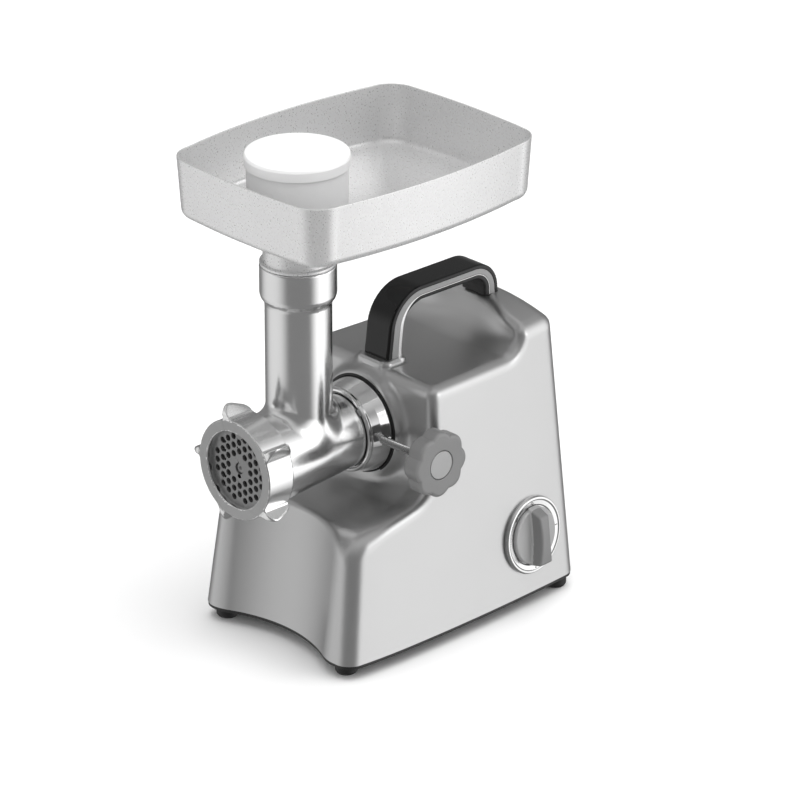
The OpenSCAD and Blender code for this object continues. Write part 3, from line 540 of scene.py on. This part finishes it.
def casing_shell():
    points, quads, _ = skin(casing, (-90, -126, BODY_Z - 4), (90, 122, 228), 2.0, open_below=True)
    shell = make("housing_shell_skin", points, quads, MAT["casing"], "root", ["housing_shell"], "casing",
                 weighted=False, recalc=False)
    thick = shell.modifiers.new("wall", "SOLIDIFY")
    thick.thickness = 0.003
    thick.offset = -1
    solid_after(shell)
    back = basis((0, 0, 0), (-1, 0, 0), (0, 0, 1), (0, 1, 0))
    tools = []
    for i in range(-4, 5):
        rings = [np.column_stack([slot_loop(i * 9, 83, 2.1, 23), np.full(16, h)]) for h in (100, 122)]
        tools.append(solid(f"vent_{i}", *rings_mesh(rings, cap_start=True, cap_end=True), where=back))
    # everything under the casing's lower edge comes off, which leaves the edge clean
    below = np.array([(x, y, z) for x in (-100, 100) for y in (-140, 140) for z in (0, BODY_Z)], float)
    box = [(0, 1, 3, 2), (4, 5, 7, 6), (0, 1, 5, 4), (2, 3, 7, 6), (0, 2, 6, 4), (1, 3, 7, 5)]
    tools.append(solid("below", below, box))
    tools.append(bar_tool("socket", 36.3, -40, -17, BARREL, 96))
    tools.append(bar_tool("dial_hole", 5, -12, 10, DIAL))
    tools.append(bar_tool("inlet_hole", 6.5, 105, 122, INLET))
    subtract(shell, tools)
    shell.data.set_sharp_from_angle(angle=math.radians(38))
    return shell


def foot_outline(inset_by, z=BODY_Z):
    """The casing's outline at height z, drawn in, found by walking out from the middle."""
    t = np.linspace(0, 2 * math.pi, 240, endpoint=False)
    d = np.column_stack([np.cos(t), np.sin(t)])
    lo, hi = np.full(len(t), 30.0), np.full(len(t), 190.0)
    for _ in range(40):
        mid = (lo + hi) / 2
        q = np.column_stack([d * mid[:, None], np.full(len(t), z)])
        out = casing(q) > -inset_by
        hi, lo = np.where(out, mid, hi), np.where(out, lo, mid)
    return d * lo[:, None]


def base():
    make("base_plate_rim", *prism([foot_outline(0.35)], 9.5, BODY_Z + 0.6, 0.3), MAT["black_plastic"], "root",
         slot="black_plastic")
    foot = soft([(0, 3.9), (4.4, 3.9), (4.4, 0, 0.4), (6.8, 0, 1.4), (8.2, 2, 1.5), (8.5, 9.5), (0, 9.5)])
    p, f = lathe(foot, 64, closed=False)
    four = [(p + np.array([x, y, 0]), f) for x in (-FOOT_X, FOOT_X) for y in (-FOOT_Y, FOOT_Y)]
    make("rubber_feet", *several(four), MAT["rubber"], "root", ["feet"], "rubber")


# ---------------------------------------------------------------------- handle

def handle_line():
    """Stations along the handle's outer line: y, z, direction into the handle, thickness."""
    out = []

    def arc(cy, cz, r, a0, a1, t0, t1, n):
        for i in range(n + 1):
            f = i / n
            a = math.radians(a0 + (a1 - a0) * f)
            out.append((cy + r * math.cos(a), cz + r * math.sin(a), a + math.pi, t0 + (t1 - t0) * f))
    for f in np.linspace(0, 1, 4)[:-1]:
        out.append((-16.6 + 2 * f, 198 + 11 * f, math.radians(8 + 4 * f), 17 - f))
    arc(18, 214.6, 32, 168, 90, 15.6, 11, 22)
    out.extend((y, 246.6, math.radians(-90), 11) for y in np.linspace(18, 71.5, 12)[1:-1])
    arc(71.5, 224.6, 22, 90, 0, 11, 13.2, 18)
    out.append((94, 217, math.radians(182), 13.6))
    return out


LINE = handle_line()


def strip(f0, f1, x0, x1, r_out, r_in, f_end=None):
    """Part of the handle between two fractions of its thickness and two places across it."""
    rings = []
    for k, (y, z, a, t) in enumerate(LINE):
        top = f1 if f_end is None else f_end + (f1 - f_end) * ease(np.array(y), -14, 14)
        d0, d1 = f0 * t, top * t
        ro, ri = min(r_out, (d1 - d0) * 0.48), min(r_in, (d1 - d0) * 0.48)
        loop = soft([(x0, d0, ro), (x1, d0, ro), (x1, d1, ri), (x0, d1, ri)], closed=True, steps=4)
        c, s = math.cos(a), math.sin(a)
        ring = np.column_stack([loop[:, 0], y + c * loop[:, 1], z + s * loop[:, 1]])
        if k == 0:
            ring[:, 2] = 198.02
            ring[:, 1] += 0.3
        if k == len(LINE) - 1:
            ring[:, 2] = CROWN - ring[:, 0] ** 2 / CROWN_BOW + 0.02
        rings.append(ring)
    return rings_mesh(rings, cap_start=True, cap_end=True)


def handle():
    make("handle_shell_loft", *strip(0, 0.27, -12.6, 12.6, 3.2, 0.35), MAT["black_gloss"], "root",
         ["handle_shell"], "black_gloss", angle=50)
    make("handle_inlay_pair", *several([strip(0.28, 0.63, s * 10, s * 12.45, 0.3, 0.3, 0.80)
                                        for s in (-1, 1)]),
         MAT["grey_inlay"], "root", ["handle_inlays"], "grey_inlay", angle=50)
    make("handle_line_bright", *several([strip(0.645, 0.70, s * 10, s * 12.5, 0.2, 0.2, 0.82)
                                         for s in (-1, 1)]),
         BRIGHT_LINE, "root", slot="grey_inlay", angle=50)
    make("handle_grip", *several([strip(0.71, 1.0, -12.3, 12.3, 0.3, 3.4, 0.83),
                                  strip(0.275, 0.99, -9.9, 9.9, 0.3, 0.3)]),
         MAT["black_plastic"], "root", ["handle_core"], "black_plastic", angle=50)


# --------------------------------------------------------------- dial and cord

def stroke(path, width, h0, h1):
    """A printed stroke through the points of path."""
    path = np.array(path, float)
    d = np.gradient(path, axis=0)
    d /= np.linalg.norm(d, axis=1)[:, None]
    side = np.column_stack([-d[:, 1], d[:, 0]]) * width / 2
    loop = np.concatenate([path - side, (path + side)[::-1]])
    return prism([loop], h0, h1, 0.03, 1)


def dial():
    ring = soft([(5.3, 0.1), (29.2, 0.1, 0.2), (29.2, 1.9, 0.5), (28.3, 3.4, 0.6), (26.9, 3.5, 0.5),
                 (26.0, 2.8, 0.5), (22.8, 2.5, 0.4), (22.0, 1.6, 0.3), (5.3, 1.2)])
    make("dial_ring", *lathe(ring, 128), MAT["bright_ring"], "root", ["dial_bezel"],
         "bright_ring", where=DIAL)
    marks = []

    def at(turn, pts):
        a = math.radians(90 - turn)
        up = np.array([math.cos(a), math.sin(a)])
        right = np.array([up[1], -up[0]])
        centre = up * 24.4
        return [centre + right * x + up * y for x, y in pts]
    arc = [(1.0 * math.sin(t), 1.0 * math.cos(t)) for t in np.linspace(0.2, 2 * math.pi - 0.2, 17)]
    marks.append(stroke(at(0, arc), 0.42, 2.45, 2.85))
    marks.append(stroke(at(90, [(-0.5, 0.6), (0, 1.1), (0, 0), (0, -1.1)]), 0.45, 2.45, 2.85))
    two = [(-0.7, 0.6), (-0.3, 1.05), (0.35, 1.05), (0.65, 0.55), (0.1, -0.3), (-0.6, -1.05), (0, -1.05),
           (0.7, -1.05)]
    marks.append(stroke(at(180, [(-x, -y) for x, y in two]), 0.45, 2.45, 2.85))
    marks.append(stroke(at(-45, [(x, 0) for x in np.linspace(-1.6, 1.6, 5)]), 1.5, 2.45, 2.75))
    make("dial_marks", *several(marks), PRINT, "root", slot="black_plastic", where=DIAL, weighted=False)

    def knob(p):
        u, v, w = p[:, 0], p[:, 1], p[:, 2]
        r = np.hypot(u, v)
        disc = cut(cut(r - 21.3, w - 5.6 + r * 0.03, 1.2), 1.6 - w, 0.4)
        waist = 4.3 + 0.0032 * (v - 4) ** 2 + 0.35 * ease(-v, 0, 20)
        bar = cut(np.abs(u) - waist, w - 15.2 + 0.004 * v * v, 1.4)
        ends = cut(v - 21 + 0.55 * (w - 6), -v - 21.4 + 0.12 * (w - 6), 1.5)
        bar = cut(cut(bar, ends, 1.3), 3 - w, 0.5)
        return join(disc, bar, 1.6)
    points, quads = skin(knob, (-25, -25, 0), (25, 25, 18), 0.7)[:2]
    grip = make("dial_grip", points, quads, DIAL_DISC, "selector", ["selector_knob"], "knob_grey", where=DIAL,
                angle=60, recalc=False)
    grip.data.materials.append(MAT["knob_grey"])
    # the raised bar is darker than the disc it stands on
    for poly in grip.data.polygons:
        if points[list(poly.vertices), 2].mean() > 6.3:
            poly.material_index = 1
    inlet = soft([(3.8, 118.3), (3.8, 108.5), (9, 108.5, 0.5), (9, 111.3, 0.5), (6.4, 111.4, 0.3),
                  (6.4, 115.6, 0.2), (9, 115.7, 0.5), (9, 118.3, 1.0), (5.2, 118.3, 0.6)], closed=True)
    make("cord_inlet_bush", *lathe(inlet, 64), MAT["rubber"], "root", ["cord_inlet"], "rubber",
         where=INLET)


# -------------------------------------------------------------- socket and head

def socket():
    collar = soft([(26.06, -29), (26.06, -46, 0.4), (28.6, -48.6, 0.4), (28.6, -50.6, 0.5),
                   (29.3, -51.2, 0.6), (30.7, -51.0, 0.8), (31.4, -49.4, 0.6),
                   (31.3, -47.6, 0.5), (33.4, -41, 4), (35.1, -34, 3),
                   (35.5, -28.8, 0.6), (35.5, -21, 0.5), (22, -21), (22, -29)], closed=True)
    ring = make("hub_collar_turned", *lathe(collar, 144), MAT["chrome"], "root", ["hub_collar"], "chrome",
                where=BARREL)
    a = math.radians(45)
    box = np.array([(u, s, h) for h in (-60, -36) for u, s in
                    ((20, -3.2), (29.7, -3.2), (29.7, 3.2), (20, 3.2))], float)
    turned = np.column_stack([box[:, 0] * math.cos(a) - box[:, 1] * math.sin(a),
                              box[:, 0] * math.sin(a) + box[:, 1] * math.cos(a), box[:, 2]])
    ring.modifiers.clear()
    faces = [(0, 1, 2, 3), (4, 5, 6, 7), (0, 1, 5, 4), (1, 2, 6, 5), (2, 3, 7, 6), (3, 0, 4, 7)]
    subtract(ring, [solid("notch", turned, faces, BARREL), bar_tool("screw_hole", 3.05, 20, 45, SCREW)])
    ring.modifiers.new("weighted", "WEIGHTED_NORMAL").keep_sharp = True
    ring.data.set_sharp_from_angle(angle=math.radians(32))


# Outlines turned about the barrel and the throat: places along the axis, then radii
BARREL_LINE = ([-160, -128.9, -128.2, -56, -47.8, -46.6, -46, -20],
               [33.5, 33.5, 33.2, 27.8, 27.6, 26.2, 26, 26])
BORE_LINE = ([-160, -132, -129, -20], [31.0, 31.0, 23.5, 23.5])
THROAT_LINE = ([100, 261, 263.5, 266.5, 269.5, 400], [23.84, 23.84, 24.5, 26.6, 27.4, 27.4])


def head(p):
    x, y, z = p[:, 0], p[:, 1], p[:, 2]
    r, s = np.hypot(x, z - AXIS_Z), np.hypot(x, y - THROAT_Y)
    barrel = cut(cut((r - np.interp(y, *BARREL_LINE)) * 0.99, -147 - y, 0.8), y + 33, 0.8)
    throat = cut(cut((s - np.interp(z, *THROAT_LINE)) * 0.95, z - 291, 1.0), AXIS_Z - z, 1)
    body = join(barrel, throat, 7)
    bore = np.maximum(r - np.interp(y, *BORE_LINE), y + 37)
    feed = np.maximum(s - np.where(z > 271.5, 24.4, 21.3), AXIS_Z - z)
    drive = r - 8.05
    return cut(body, -np.minimum(np.minimum(bore, feed), drive), 0.5)


def ring_nut(p):
    x, y, z = p[:, 0], p[:, 1] - NOSE_Y, p[:, 2] - AXIS_Z
    r = np.hypot(x, z)
    body = cut(cut(r - NUT_R, -y, 1.0), y - 23, 0.8)
    bore = np.where(y > 4.7, r - 33.55, r - 28.5)
    front = np.sqrt(np.clip(1 - (np.clip(7 - y, 0, 7) / 7) ** 2, 0, 1))
    back = np.sqrt(np.clip(1 - (np.clip(y - 17, 0, 6) / 6) ** 2, 0, 1))
    rise = front * back * (10.4 - 4.2 * ease(y, 6, 21))
    lugs = np.full(len(p), 1e3)
    for i in range(5):
        a = math.radians(106 + 72 * i)
        u, v = x * math.cos(a) + z * math.sin(a), z * math.cos(a) - x * math.sin(a)
        crest = (r - NUT_R - rise) * 0.75
        rib = cut(v - 1.9 + 0.03 * (u - 37), (-v - 6.3 + 0.5 * (u - 35)) * 0.89, 1.2)
        lug = cut(cut(cut(crest, rib, 1.1), np.abs(y - 11.6) - 11.1, 0.6), 20 - u, 0.5)
        lugs = np.minimum(lugs, lug)
    return cut(join(body, lugs, 1.8), -bore, 1.1)


def head_parts():
    p, q, n = skin(head, (-40, -150, 108), (40, -30, 294), 1.3)
    make("head_casting_skin", p, q, MAT["head_metal"], "head", ["head_casting"], "head_metal",
         normals=n, recalc=False)
    p, q, n = skin(ring_nut, (-51, -153.5, AXIS_Z - 51), (51, -127, AXIS_Z + 51), 0.95)
    nut = make("ring_nut_skin", p, q, MAT["head_metal"], "ring_nut", ["ring_nut"], "head_metal",
               normals=n, recalc=False)
    nut.data.materials.append(NUT_FACE)
    # the turned front face is duller than the polished sides
    out = np.hypot(p[:, 0], p[:, 2] - AXIS_Z)
    for poly in nut.data.polygons:
        i = list(poly.vertices)
        if n[i, 1].mean() < -0.9 and p[i, 1].mean() < NOSE_Y + 0.5 and out[i].mean() < NUT_R - 0.3:
            poly.material_index = 1
    holes = []
    pitch, turn = 6.65, math.radians(30)
    for i in range(-6, 7):
        for j in range(-6, 7):
            x, z = pitch * (i + j / 2), pitch * j * math.sin(math.pi / 3)
            if 8.8 < math.hypot(x, z) < 25.3:
                holes.append(circle(x * math.cos(turn) - z * math.sin(turn),
                                    x * math.sin(turn) + z * math.cos(turn), 2.25, 24, True))
    rim = circle(0, 0, 30.9, 144)
    loops = [rim, circle(0, 0, 4.06, 40, True)] + holes
    make("grinding_plate_drilled", *prism(loops, -147.2, -142.2, 0.35, 2), MAT["plate_steel"], "head",
         ["grinding_plate"], "plate_steel", where=BARREL, weighted=False, angle=25)


def auger():
    y0, y1, turns, core0, core1, tip = -127.0, -45.0, 3.0, 9.3, 13.3, 22.9
    rows, cols = 240, 96
    t = np.linspace(0, 2 * math.pi, cols, endpoint=False)
    rings = []
    for k in range(rows + 1):
        f = k / rows
        y = y0 + (y1 - y0) * f
        core = core0 + (core1 - core0) * f
        phase = (t - 2 * math.pi * turns * f) % (2 * math.pi)
        phase = np.minimum(phase, 2 * math.pi - phase)
        blade = 1 - ease(phase, 0.30, 0.75)
        r = core + (tip - core) * blade
        rings.append(np.column_stack([r * np.cos(t), r * np.sin(t), np.full(cols, y)]))
    stub = [(0, -144.4), (1.5, -146, 0.2), (3.5, -146, 0.3), (4, -145.4, 0.2), (4, -134, 0.1), (5, -134, 0.2),
            (5, -129, 0.5), (8, -129, 0.4), (9.3, y0)]
    front = [np.column_stack([max(r, 0.01) * np.cos(t), max(r, 0.01) * np.sin(t), np.full(cols, h)])
             for r, h in soft(stub)]
    tail = [np.column_stack([r * np.cos(t), r * np.sin(t), np.full(cols, h)])
            for r, h in soft([(21, y1), (21, -41, 0.6), (7.95, -41, 0.3), (7.95, -33)])]
    hexagon = []
    for h, k in ((-33, 1.0), (-19, 1.0), (-18, 0.9)):
        r = 7.4 * math.cos(math.pi / 6) / np.cos((t + math.pi / 6) % (math.pi / 3) - math.pi / 6) * k
        r = np.minimum(r, 7.4 * k)
        hexagon.append(np.column_stack([r * np.cos(t), r * np.sin(t), np.full(cols, h)]))
    make("auger_cast", *rings_mesh(front + rings + tail + hexagon, cap_start=True, cap_end=True),
         MAT["auger_cast"], "auger", ["auger"], "auger_cast", where=BARREL, angle=50)


def clamp():
    """Screw with its thread, and the star knob."""
    pitch, per, x0, x1 = 1.0, 8, 26.1, 79.6
    n, m = 40, int((x1 - x0) / pitch * per)
    t = np.linspace(0, 2 * math.pi, n, endpoint=False)
    rings = [np.column_stack([1.9 * np.cos(t), 1.9 * np.sin(t), np.full(n, x0)])]
    for k in range(m + 1):
        h = x0 + 0.5 + (x1 - x0 - 0.5) * k / m
        phase = (h / pitch - t / (2 * math.pi)) % 1
        depth = np.abs(phase - 0.5) * 2
        r = 2.98 - 0.62 * np.clip(depth * 1.25 - 0.12, 0, 1)
        rings.append(np.column_stack([r * np.cos(t), r * np.sin(t), np.full(n, h)]))
    rings.append(np.column_stack([2.9 * np.cos(t), 2.9 * np.sin(t), np.full(n, 85.0)]))
    make("clamp_screw_threaded", *rings_mesh(rings, cap_start=True, cap_end=True), MAT["steel"],
         "clamp_screw", ["clamp_screw"], "steel", where=SCREW, weighted=False, angle=80)
    t = np.linspace(0, 2 * math.pi, 256, endpoint=False)
    wave = 0.5 + 0.5 * np.cos(8 * (t - math.radians(20)) + math.pi)
    r = 24.6 - 2.5 * (1 - wave ** 0.55)
    star = np.column_stack([r * np.cos(t), r * np.sin(t)])

    reach = np.linalg.norm(star, axis=1)
    edge = [np.column_stack([star * (1 - drop / reach)[:, None], np.full(256, h)])
            for drop, h in ((2.0, 79.5), (0.9, 79.9), (0.2, 80.8), (0, 81.8), (0, 90.8), (0.25, 92.0),
                            (0.9, 92.9), (2.0, 93.4), (3.2, 93.5))]
    face = [np.column_stack([rr * np.cos(t), rr * np.sin(t), np.full(256, h)])
            for rr, h in ((12.2, 93.5), (11.2, 93.4), (10.8, 92.9), (10.7, 92.1), (10.5, 92.0), (0.02, 92.0))]
    under = [np.column_stack([rr * np.cos(t), rr * np.sin(t), np.full(256, h)])
             for rr, h in ((3.06, 85.4), (3.06, 79.9), (3.4, 79.5), (9.0, 79.5))]
    make("star_knob_moulded", *rings_mesh(under + edge + face, cap_start=True, cap_end=True),
         MAT["knob_grey"], "star_knob", ["star_knob"], "knob_grey", where=SCREW, angle=40)
    cap = soft([(0, 92.08), (10.4, 92.08), (10.4, 93.2, 0.5), (0, 93.45)])
    make("star_knob_disc", *lathe(cap, 96, closed=False), MAT["knob_disc"], "star_knob", ["star_knob_cap"],
         "knob_disc", where=SCREW)


# -------------------------------------------------------------- tray and pusher

TRAY_Y, TRAY_Z0, RIM_Z = -35.5, 319.0, 364.5


def tray_outline(n_side=26, n_arc=22):
    """Quarter by quarter: bowed sides and round corners, with the outward directions."""
    hx, hy, r, bx, by = 86.0, 112.0, 22.0, 7.8, 2.6
    cx, cy = hx - bx - r, hy - by - r
    quarter = [(hx - bx * f * f, cy * f, 1, 2 * bx * f / cy) for f in np.linspace(0, 1, n_side)[:-1]]
    a0, a1 = math.atan2(2 * bx, cy), math.pi / 2 - math.atan2(2 * by, cx)
    for a in np.linspace(a0, a1, n_arc):
        f = (a - a0) / (a1 - a0)
        b = math.pi / 2 * f
        quarter.append((cx + r * math.cos(b), cy + r * math.sin(b), math.cos(a), math.sin(a)))
    quarter += [(cx * f, hy - by * f * f, 2 * by * f / cx, 1) for f in np.linspace(1, 0, n_side)[1:-1]]
    q = np.array(quarter)
    full = [tuple(p) for p in q] + [(0, hy, 0, 1)]
    full += [(-p[0], p[1], -p[2], p[3]) for p in q[::-1]]
    full += [(-p[0], -p[1], -p[2], -p[3]) for p in q[1:]] + [(0, -hy, 0, -1)]
    full += [(p[0], -p[1], p[2], -p[3]) for p in q[::-1][:-1]]
    full = np.array(full)
    normal = full[:, 2:] / np.linalg.norm(full[:, 2:], axis=1)[:, None]
    for _ in range(6):
        normal = normal + 0.5 * (np.roll(normal, 1, 0) + np.roll(normal, -1, 0))
        normal /= np.linalg.norm(normal, axis=1)[:, None]
    return full[:, :2], normal


def tray():
    line, out = tray_outline()
    n = len(line)

    def level(t, z):
        return np.column_stack([line - out * t + np.array([0, TRAY_Y]), np.full(n, z)])
    last = level(16, 0)[:, :2]
    d = last - np.array([0, THROAT_Y])
    d /= np.linalg.norm(d, axis=1)[:, None]

    def round_level(r, z):
        return np.column_stack([d * r + np.array([0, THROAT_Y]), np.full(n, z)])

    def between(r, z_in, z_out, f):
        ring = round_level(r, 0) * (1 - f) + level(16, 0) * f
        ring[:, 2] = z_in + (z_out - z_in) * f
        return ring
    neck = soft([(24.2, 273.0, 0), (24.2, 291.35, 0.2), (27.2, 291.4, 0.3), (27.2, 293.3, 0.6),
                 (24.8, 293.8, 0.5), (24.8, TRAY_Z0, 5), (31, TRAY_Z0, 0)])
    rings = [round_level(r, z) for r, z in neck]
    rings += [between(31, TRAY_Z0, TRAY_Z0, f) for f in (0.25, 0.5, 0.75)]
    outer = soft([(16, TRAY_Z0), (3.2, TRAY_Z0, 9), (0, RIM_Z - 0.1, 0.5), (0.7, RIM_Z + 0.05, 0.4),
                  (1.4, RIM_Z - 0.2, 0.4), (4.5, TRAY_Z0 + 1.4, 9), (16, TRAY_Z0 + 1.4)], steps=8)
    rings += [level(t, z) for t, z in outer]
    rings += [between(27, TRAY_Z0 + 1.4, TRAY_Z0 + 1.4, f) for f in (0.75, 0.5, 0.25)]
    throat = soft([(27, TRAY_Z0 + 1.4, 0), (22.6, TRAY_Z0 + 1.4, 4), (22.6, 273.3, 0.3), (24.2, 273.0, 0)])
    rings += [round_level(r, z) for r, z in throat[:-1]]
    make("tray_pressed", *rings_mesh(rings, wrap=True), MAT["tray_metal"], "tray", ["tray"], "tray_metal",
         angle=50)


def pusher():
    z0 = TRAY_Z0 + 1.5
    body = soft([(0, 205), (17.6, 205, 1.2), (19.4, 207.6, 1), (20.3, 309, 1), (20.3, z0, 0.2),
                 (34.8, z0, 1.2), (35.5, z0 + 3, 2), (35.8, 364.5, 0.2), (34.8, 364.5, 0.1),
                 (34.8, 367.5, 0.4), (32.8, 367.5, 0.4),
                 (32.8, z0 + 3, 1), (18.1, z0 - 1, 1), (18.1, 208, 1), (0, 208)])
    make("pusher_body_moulded", *lathe(body, 128, closed=False), MAT["pusher_grey"], "pusher",
         ["pusher_body"], "pusher_grey", where=THROAT)
    cap = soft([(0, 371.5), (34.9, 371.5, 0.5), (34.9, 364.8, 0.3), (37.2, 364.8, 0.4), (37.4, 371.6, 0.5),
                (36.6, 374.0, 1.6), (33.5, 374.5, 2), (0, 374.6)])
    make("pusher_cap_moulded", *lathe(cap, 128, closed=False), MAT["pusher_white"], "pusher_lid",
         ["pusher_cap"], "pusher_white", where=THROAT)


casing_shell()
base()
handle()
dial()
socket()
head_parts()
auger()
clamp()
tray()
pusher()


# ------------------------------------------------------- floor, light and camera

def stage():
    size, n = 6.0, 24
    t = np.linspace(-size, size, n + 1)
    points = [(x, y, 0) for y in t for x in t]
    faces = [(j * (n + 1) + i, j * (n + 1) + i + 1, (j + 1) * (n + 1) + i + 1, (j + 1) * (n + 1) + i)
             for j in range(n) for i in range(n)]
    mesh = bpy.data.meshes.new("floor")
    mesh.from_pydata(points, [], faces)
    floor = bpy.data.objects.new("floor", mesh)
    bpy.context.scene.collection.objects.link(floor)
    mesh.materials.append(material("floor_paper", grey(0.93), 0, 0.8, tone=0.0, specular=0.1))
    floor.visible_glossy = False


def light(name, kind, place, aim, power, size, glossy=True):
    data = bpy.data.lights.new(name, kind)
    data.energy = power
    if kind == "SUN":
        data.angle = math.radians(size)
    else:
        data.size = size
    lamp = bpy.data.objects.new(name, data)
    lamp.location = place
    lamp.rotation_euler = (Vector(aim) - Vector(place)).to_track_quat("-Z", "Y").to_euler()
    lamp.visible_glossy = glossy
    bpy.context.scene.collection.objects.link(lamp)


def world():
    """A studio dome: soft bright fields in a few directions over a dim base."""
    w = bpy.data.worlds.new("studio")
    bpy.context.scene.world = w
    w.use_nodes = True
    nodes, links = w.node_tree.nodes, w.node_tree.links
    sky = nodes["Background"]
    direction = nodes.new("ShaderNodeTexCoord").outputs["Generated"]
    fields = (((0.76, 0.62, 0.05), 2, 52, 1.40),
              ((-0.62, -0.75, -0.50), 8, 52, 0.55),
              ((-0.60, -0.70, 0.38), 5, 45, 0.30),
              ((0, 0, 1), 10, 60, 0.40))
    total = None
    for aim, inner, outer, value in fields:
        dot = nodes.new("ShaderNodeVectorMath")
        dot.operation = "DOT_PRODUCT"
        dot.inputs[1].default_value = Vector(aim).normalized()
        links.new(direction, dot.inputs[0])
        edge = nodes.new("ShaderNodeMapRange")
        edge.interpolation_type = "SMOOTHSTEP"
        edge.inputs["From Min"].default_value = math.cos(math.radians(outer))
        edge.inputs["From Max"].default_value = math.cos(math.radians(inner))
        edge.inputs["To Min"].default_value = 0.0
        edge.inputs["To Max"].default_value = value
        links.new(dot.outputs["Value"], edge.inputs["Value"])
        add = nodes.new("ShaderNodeMath")
        add.operation = "ADD"
        links.new(edge.outputs["Result"], add.inputs[0])
        if total is None:
            add.inputs[1].default_value = 0.22
        else:
            links.new(total, add.inputs[1])
        total = add.outputs["Value"]
    sky.inputs["Color"].default_value = (1, 1, 1, 1)
    links.new(total, sky.inputs["Strength"])


def camera():
    data = bpy.data.cameras.new("camera")
    data.lens = 248.34
    data.sensor_width = 36
    data.clip_end = 20
    cam = bpy.data.objects.new("camera", data)
    place = Vector(to_world((2641.27, -2481.83, 1757.91)))
    aim = Vector(to_world((50.18, -39.52, 186.85)))
    cam.location = place
    cam.rotation_euler = (aim - place).to_track_quat("-Z", "Y").to_euler()
    bpy.context.scene.collection.objects.link(cam)
    bpy.context.scene.camera = cam


stage()
world()
light("overhead", "SUN", (0.25, 0.15, 2.0), (0, 0, 0), 2.4, 70, glossy=False)
light("fill_front", "SUN", (0.6, -1.4, 0.9), (0, 0, 0.2), 0.75, 50, glossy=False)
light("key_right", "AREA", (1.8, 0.9, 1.1), (0, 0, 0.2), 3.5, 0.9)
camera()
bpy.context.scene.view_settings.view_transform = "Standard"
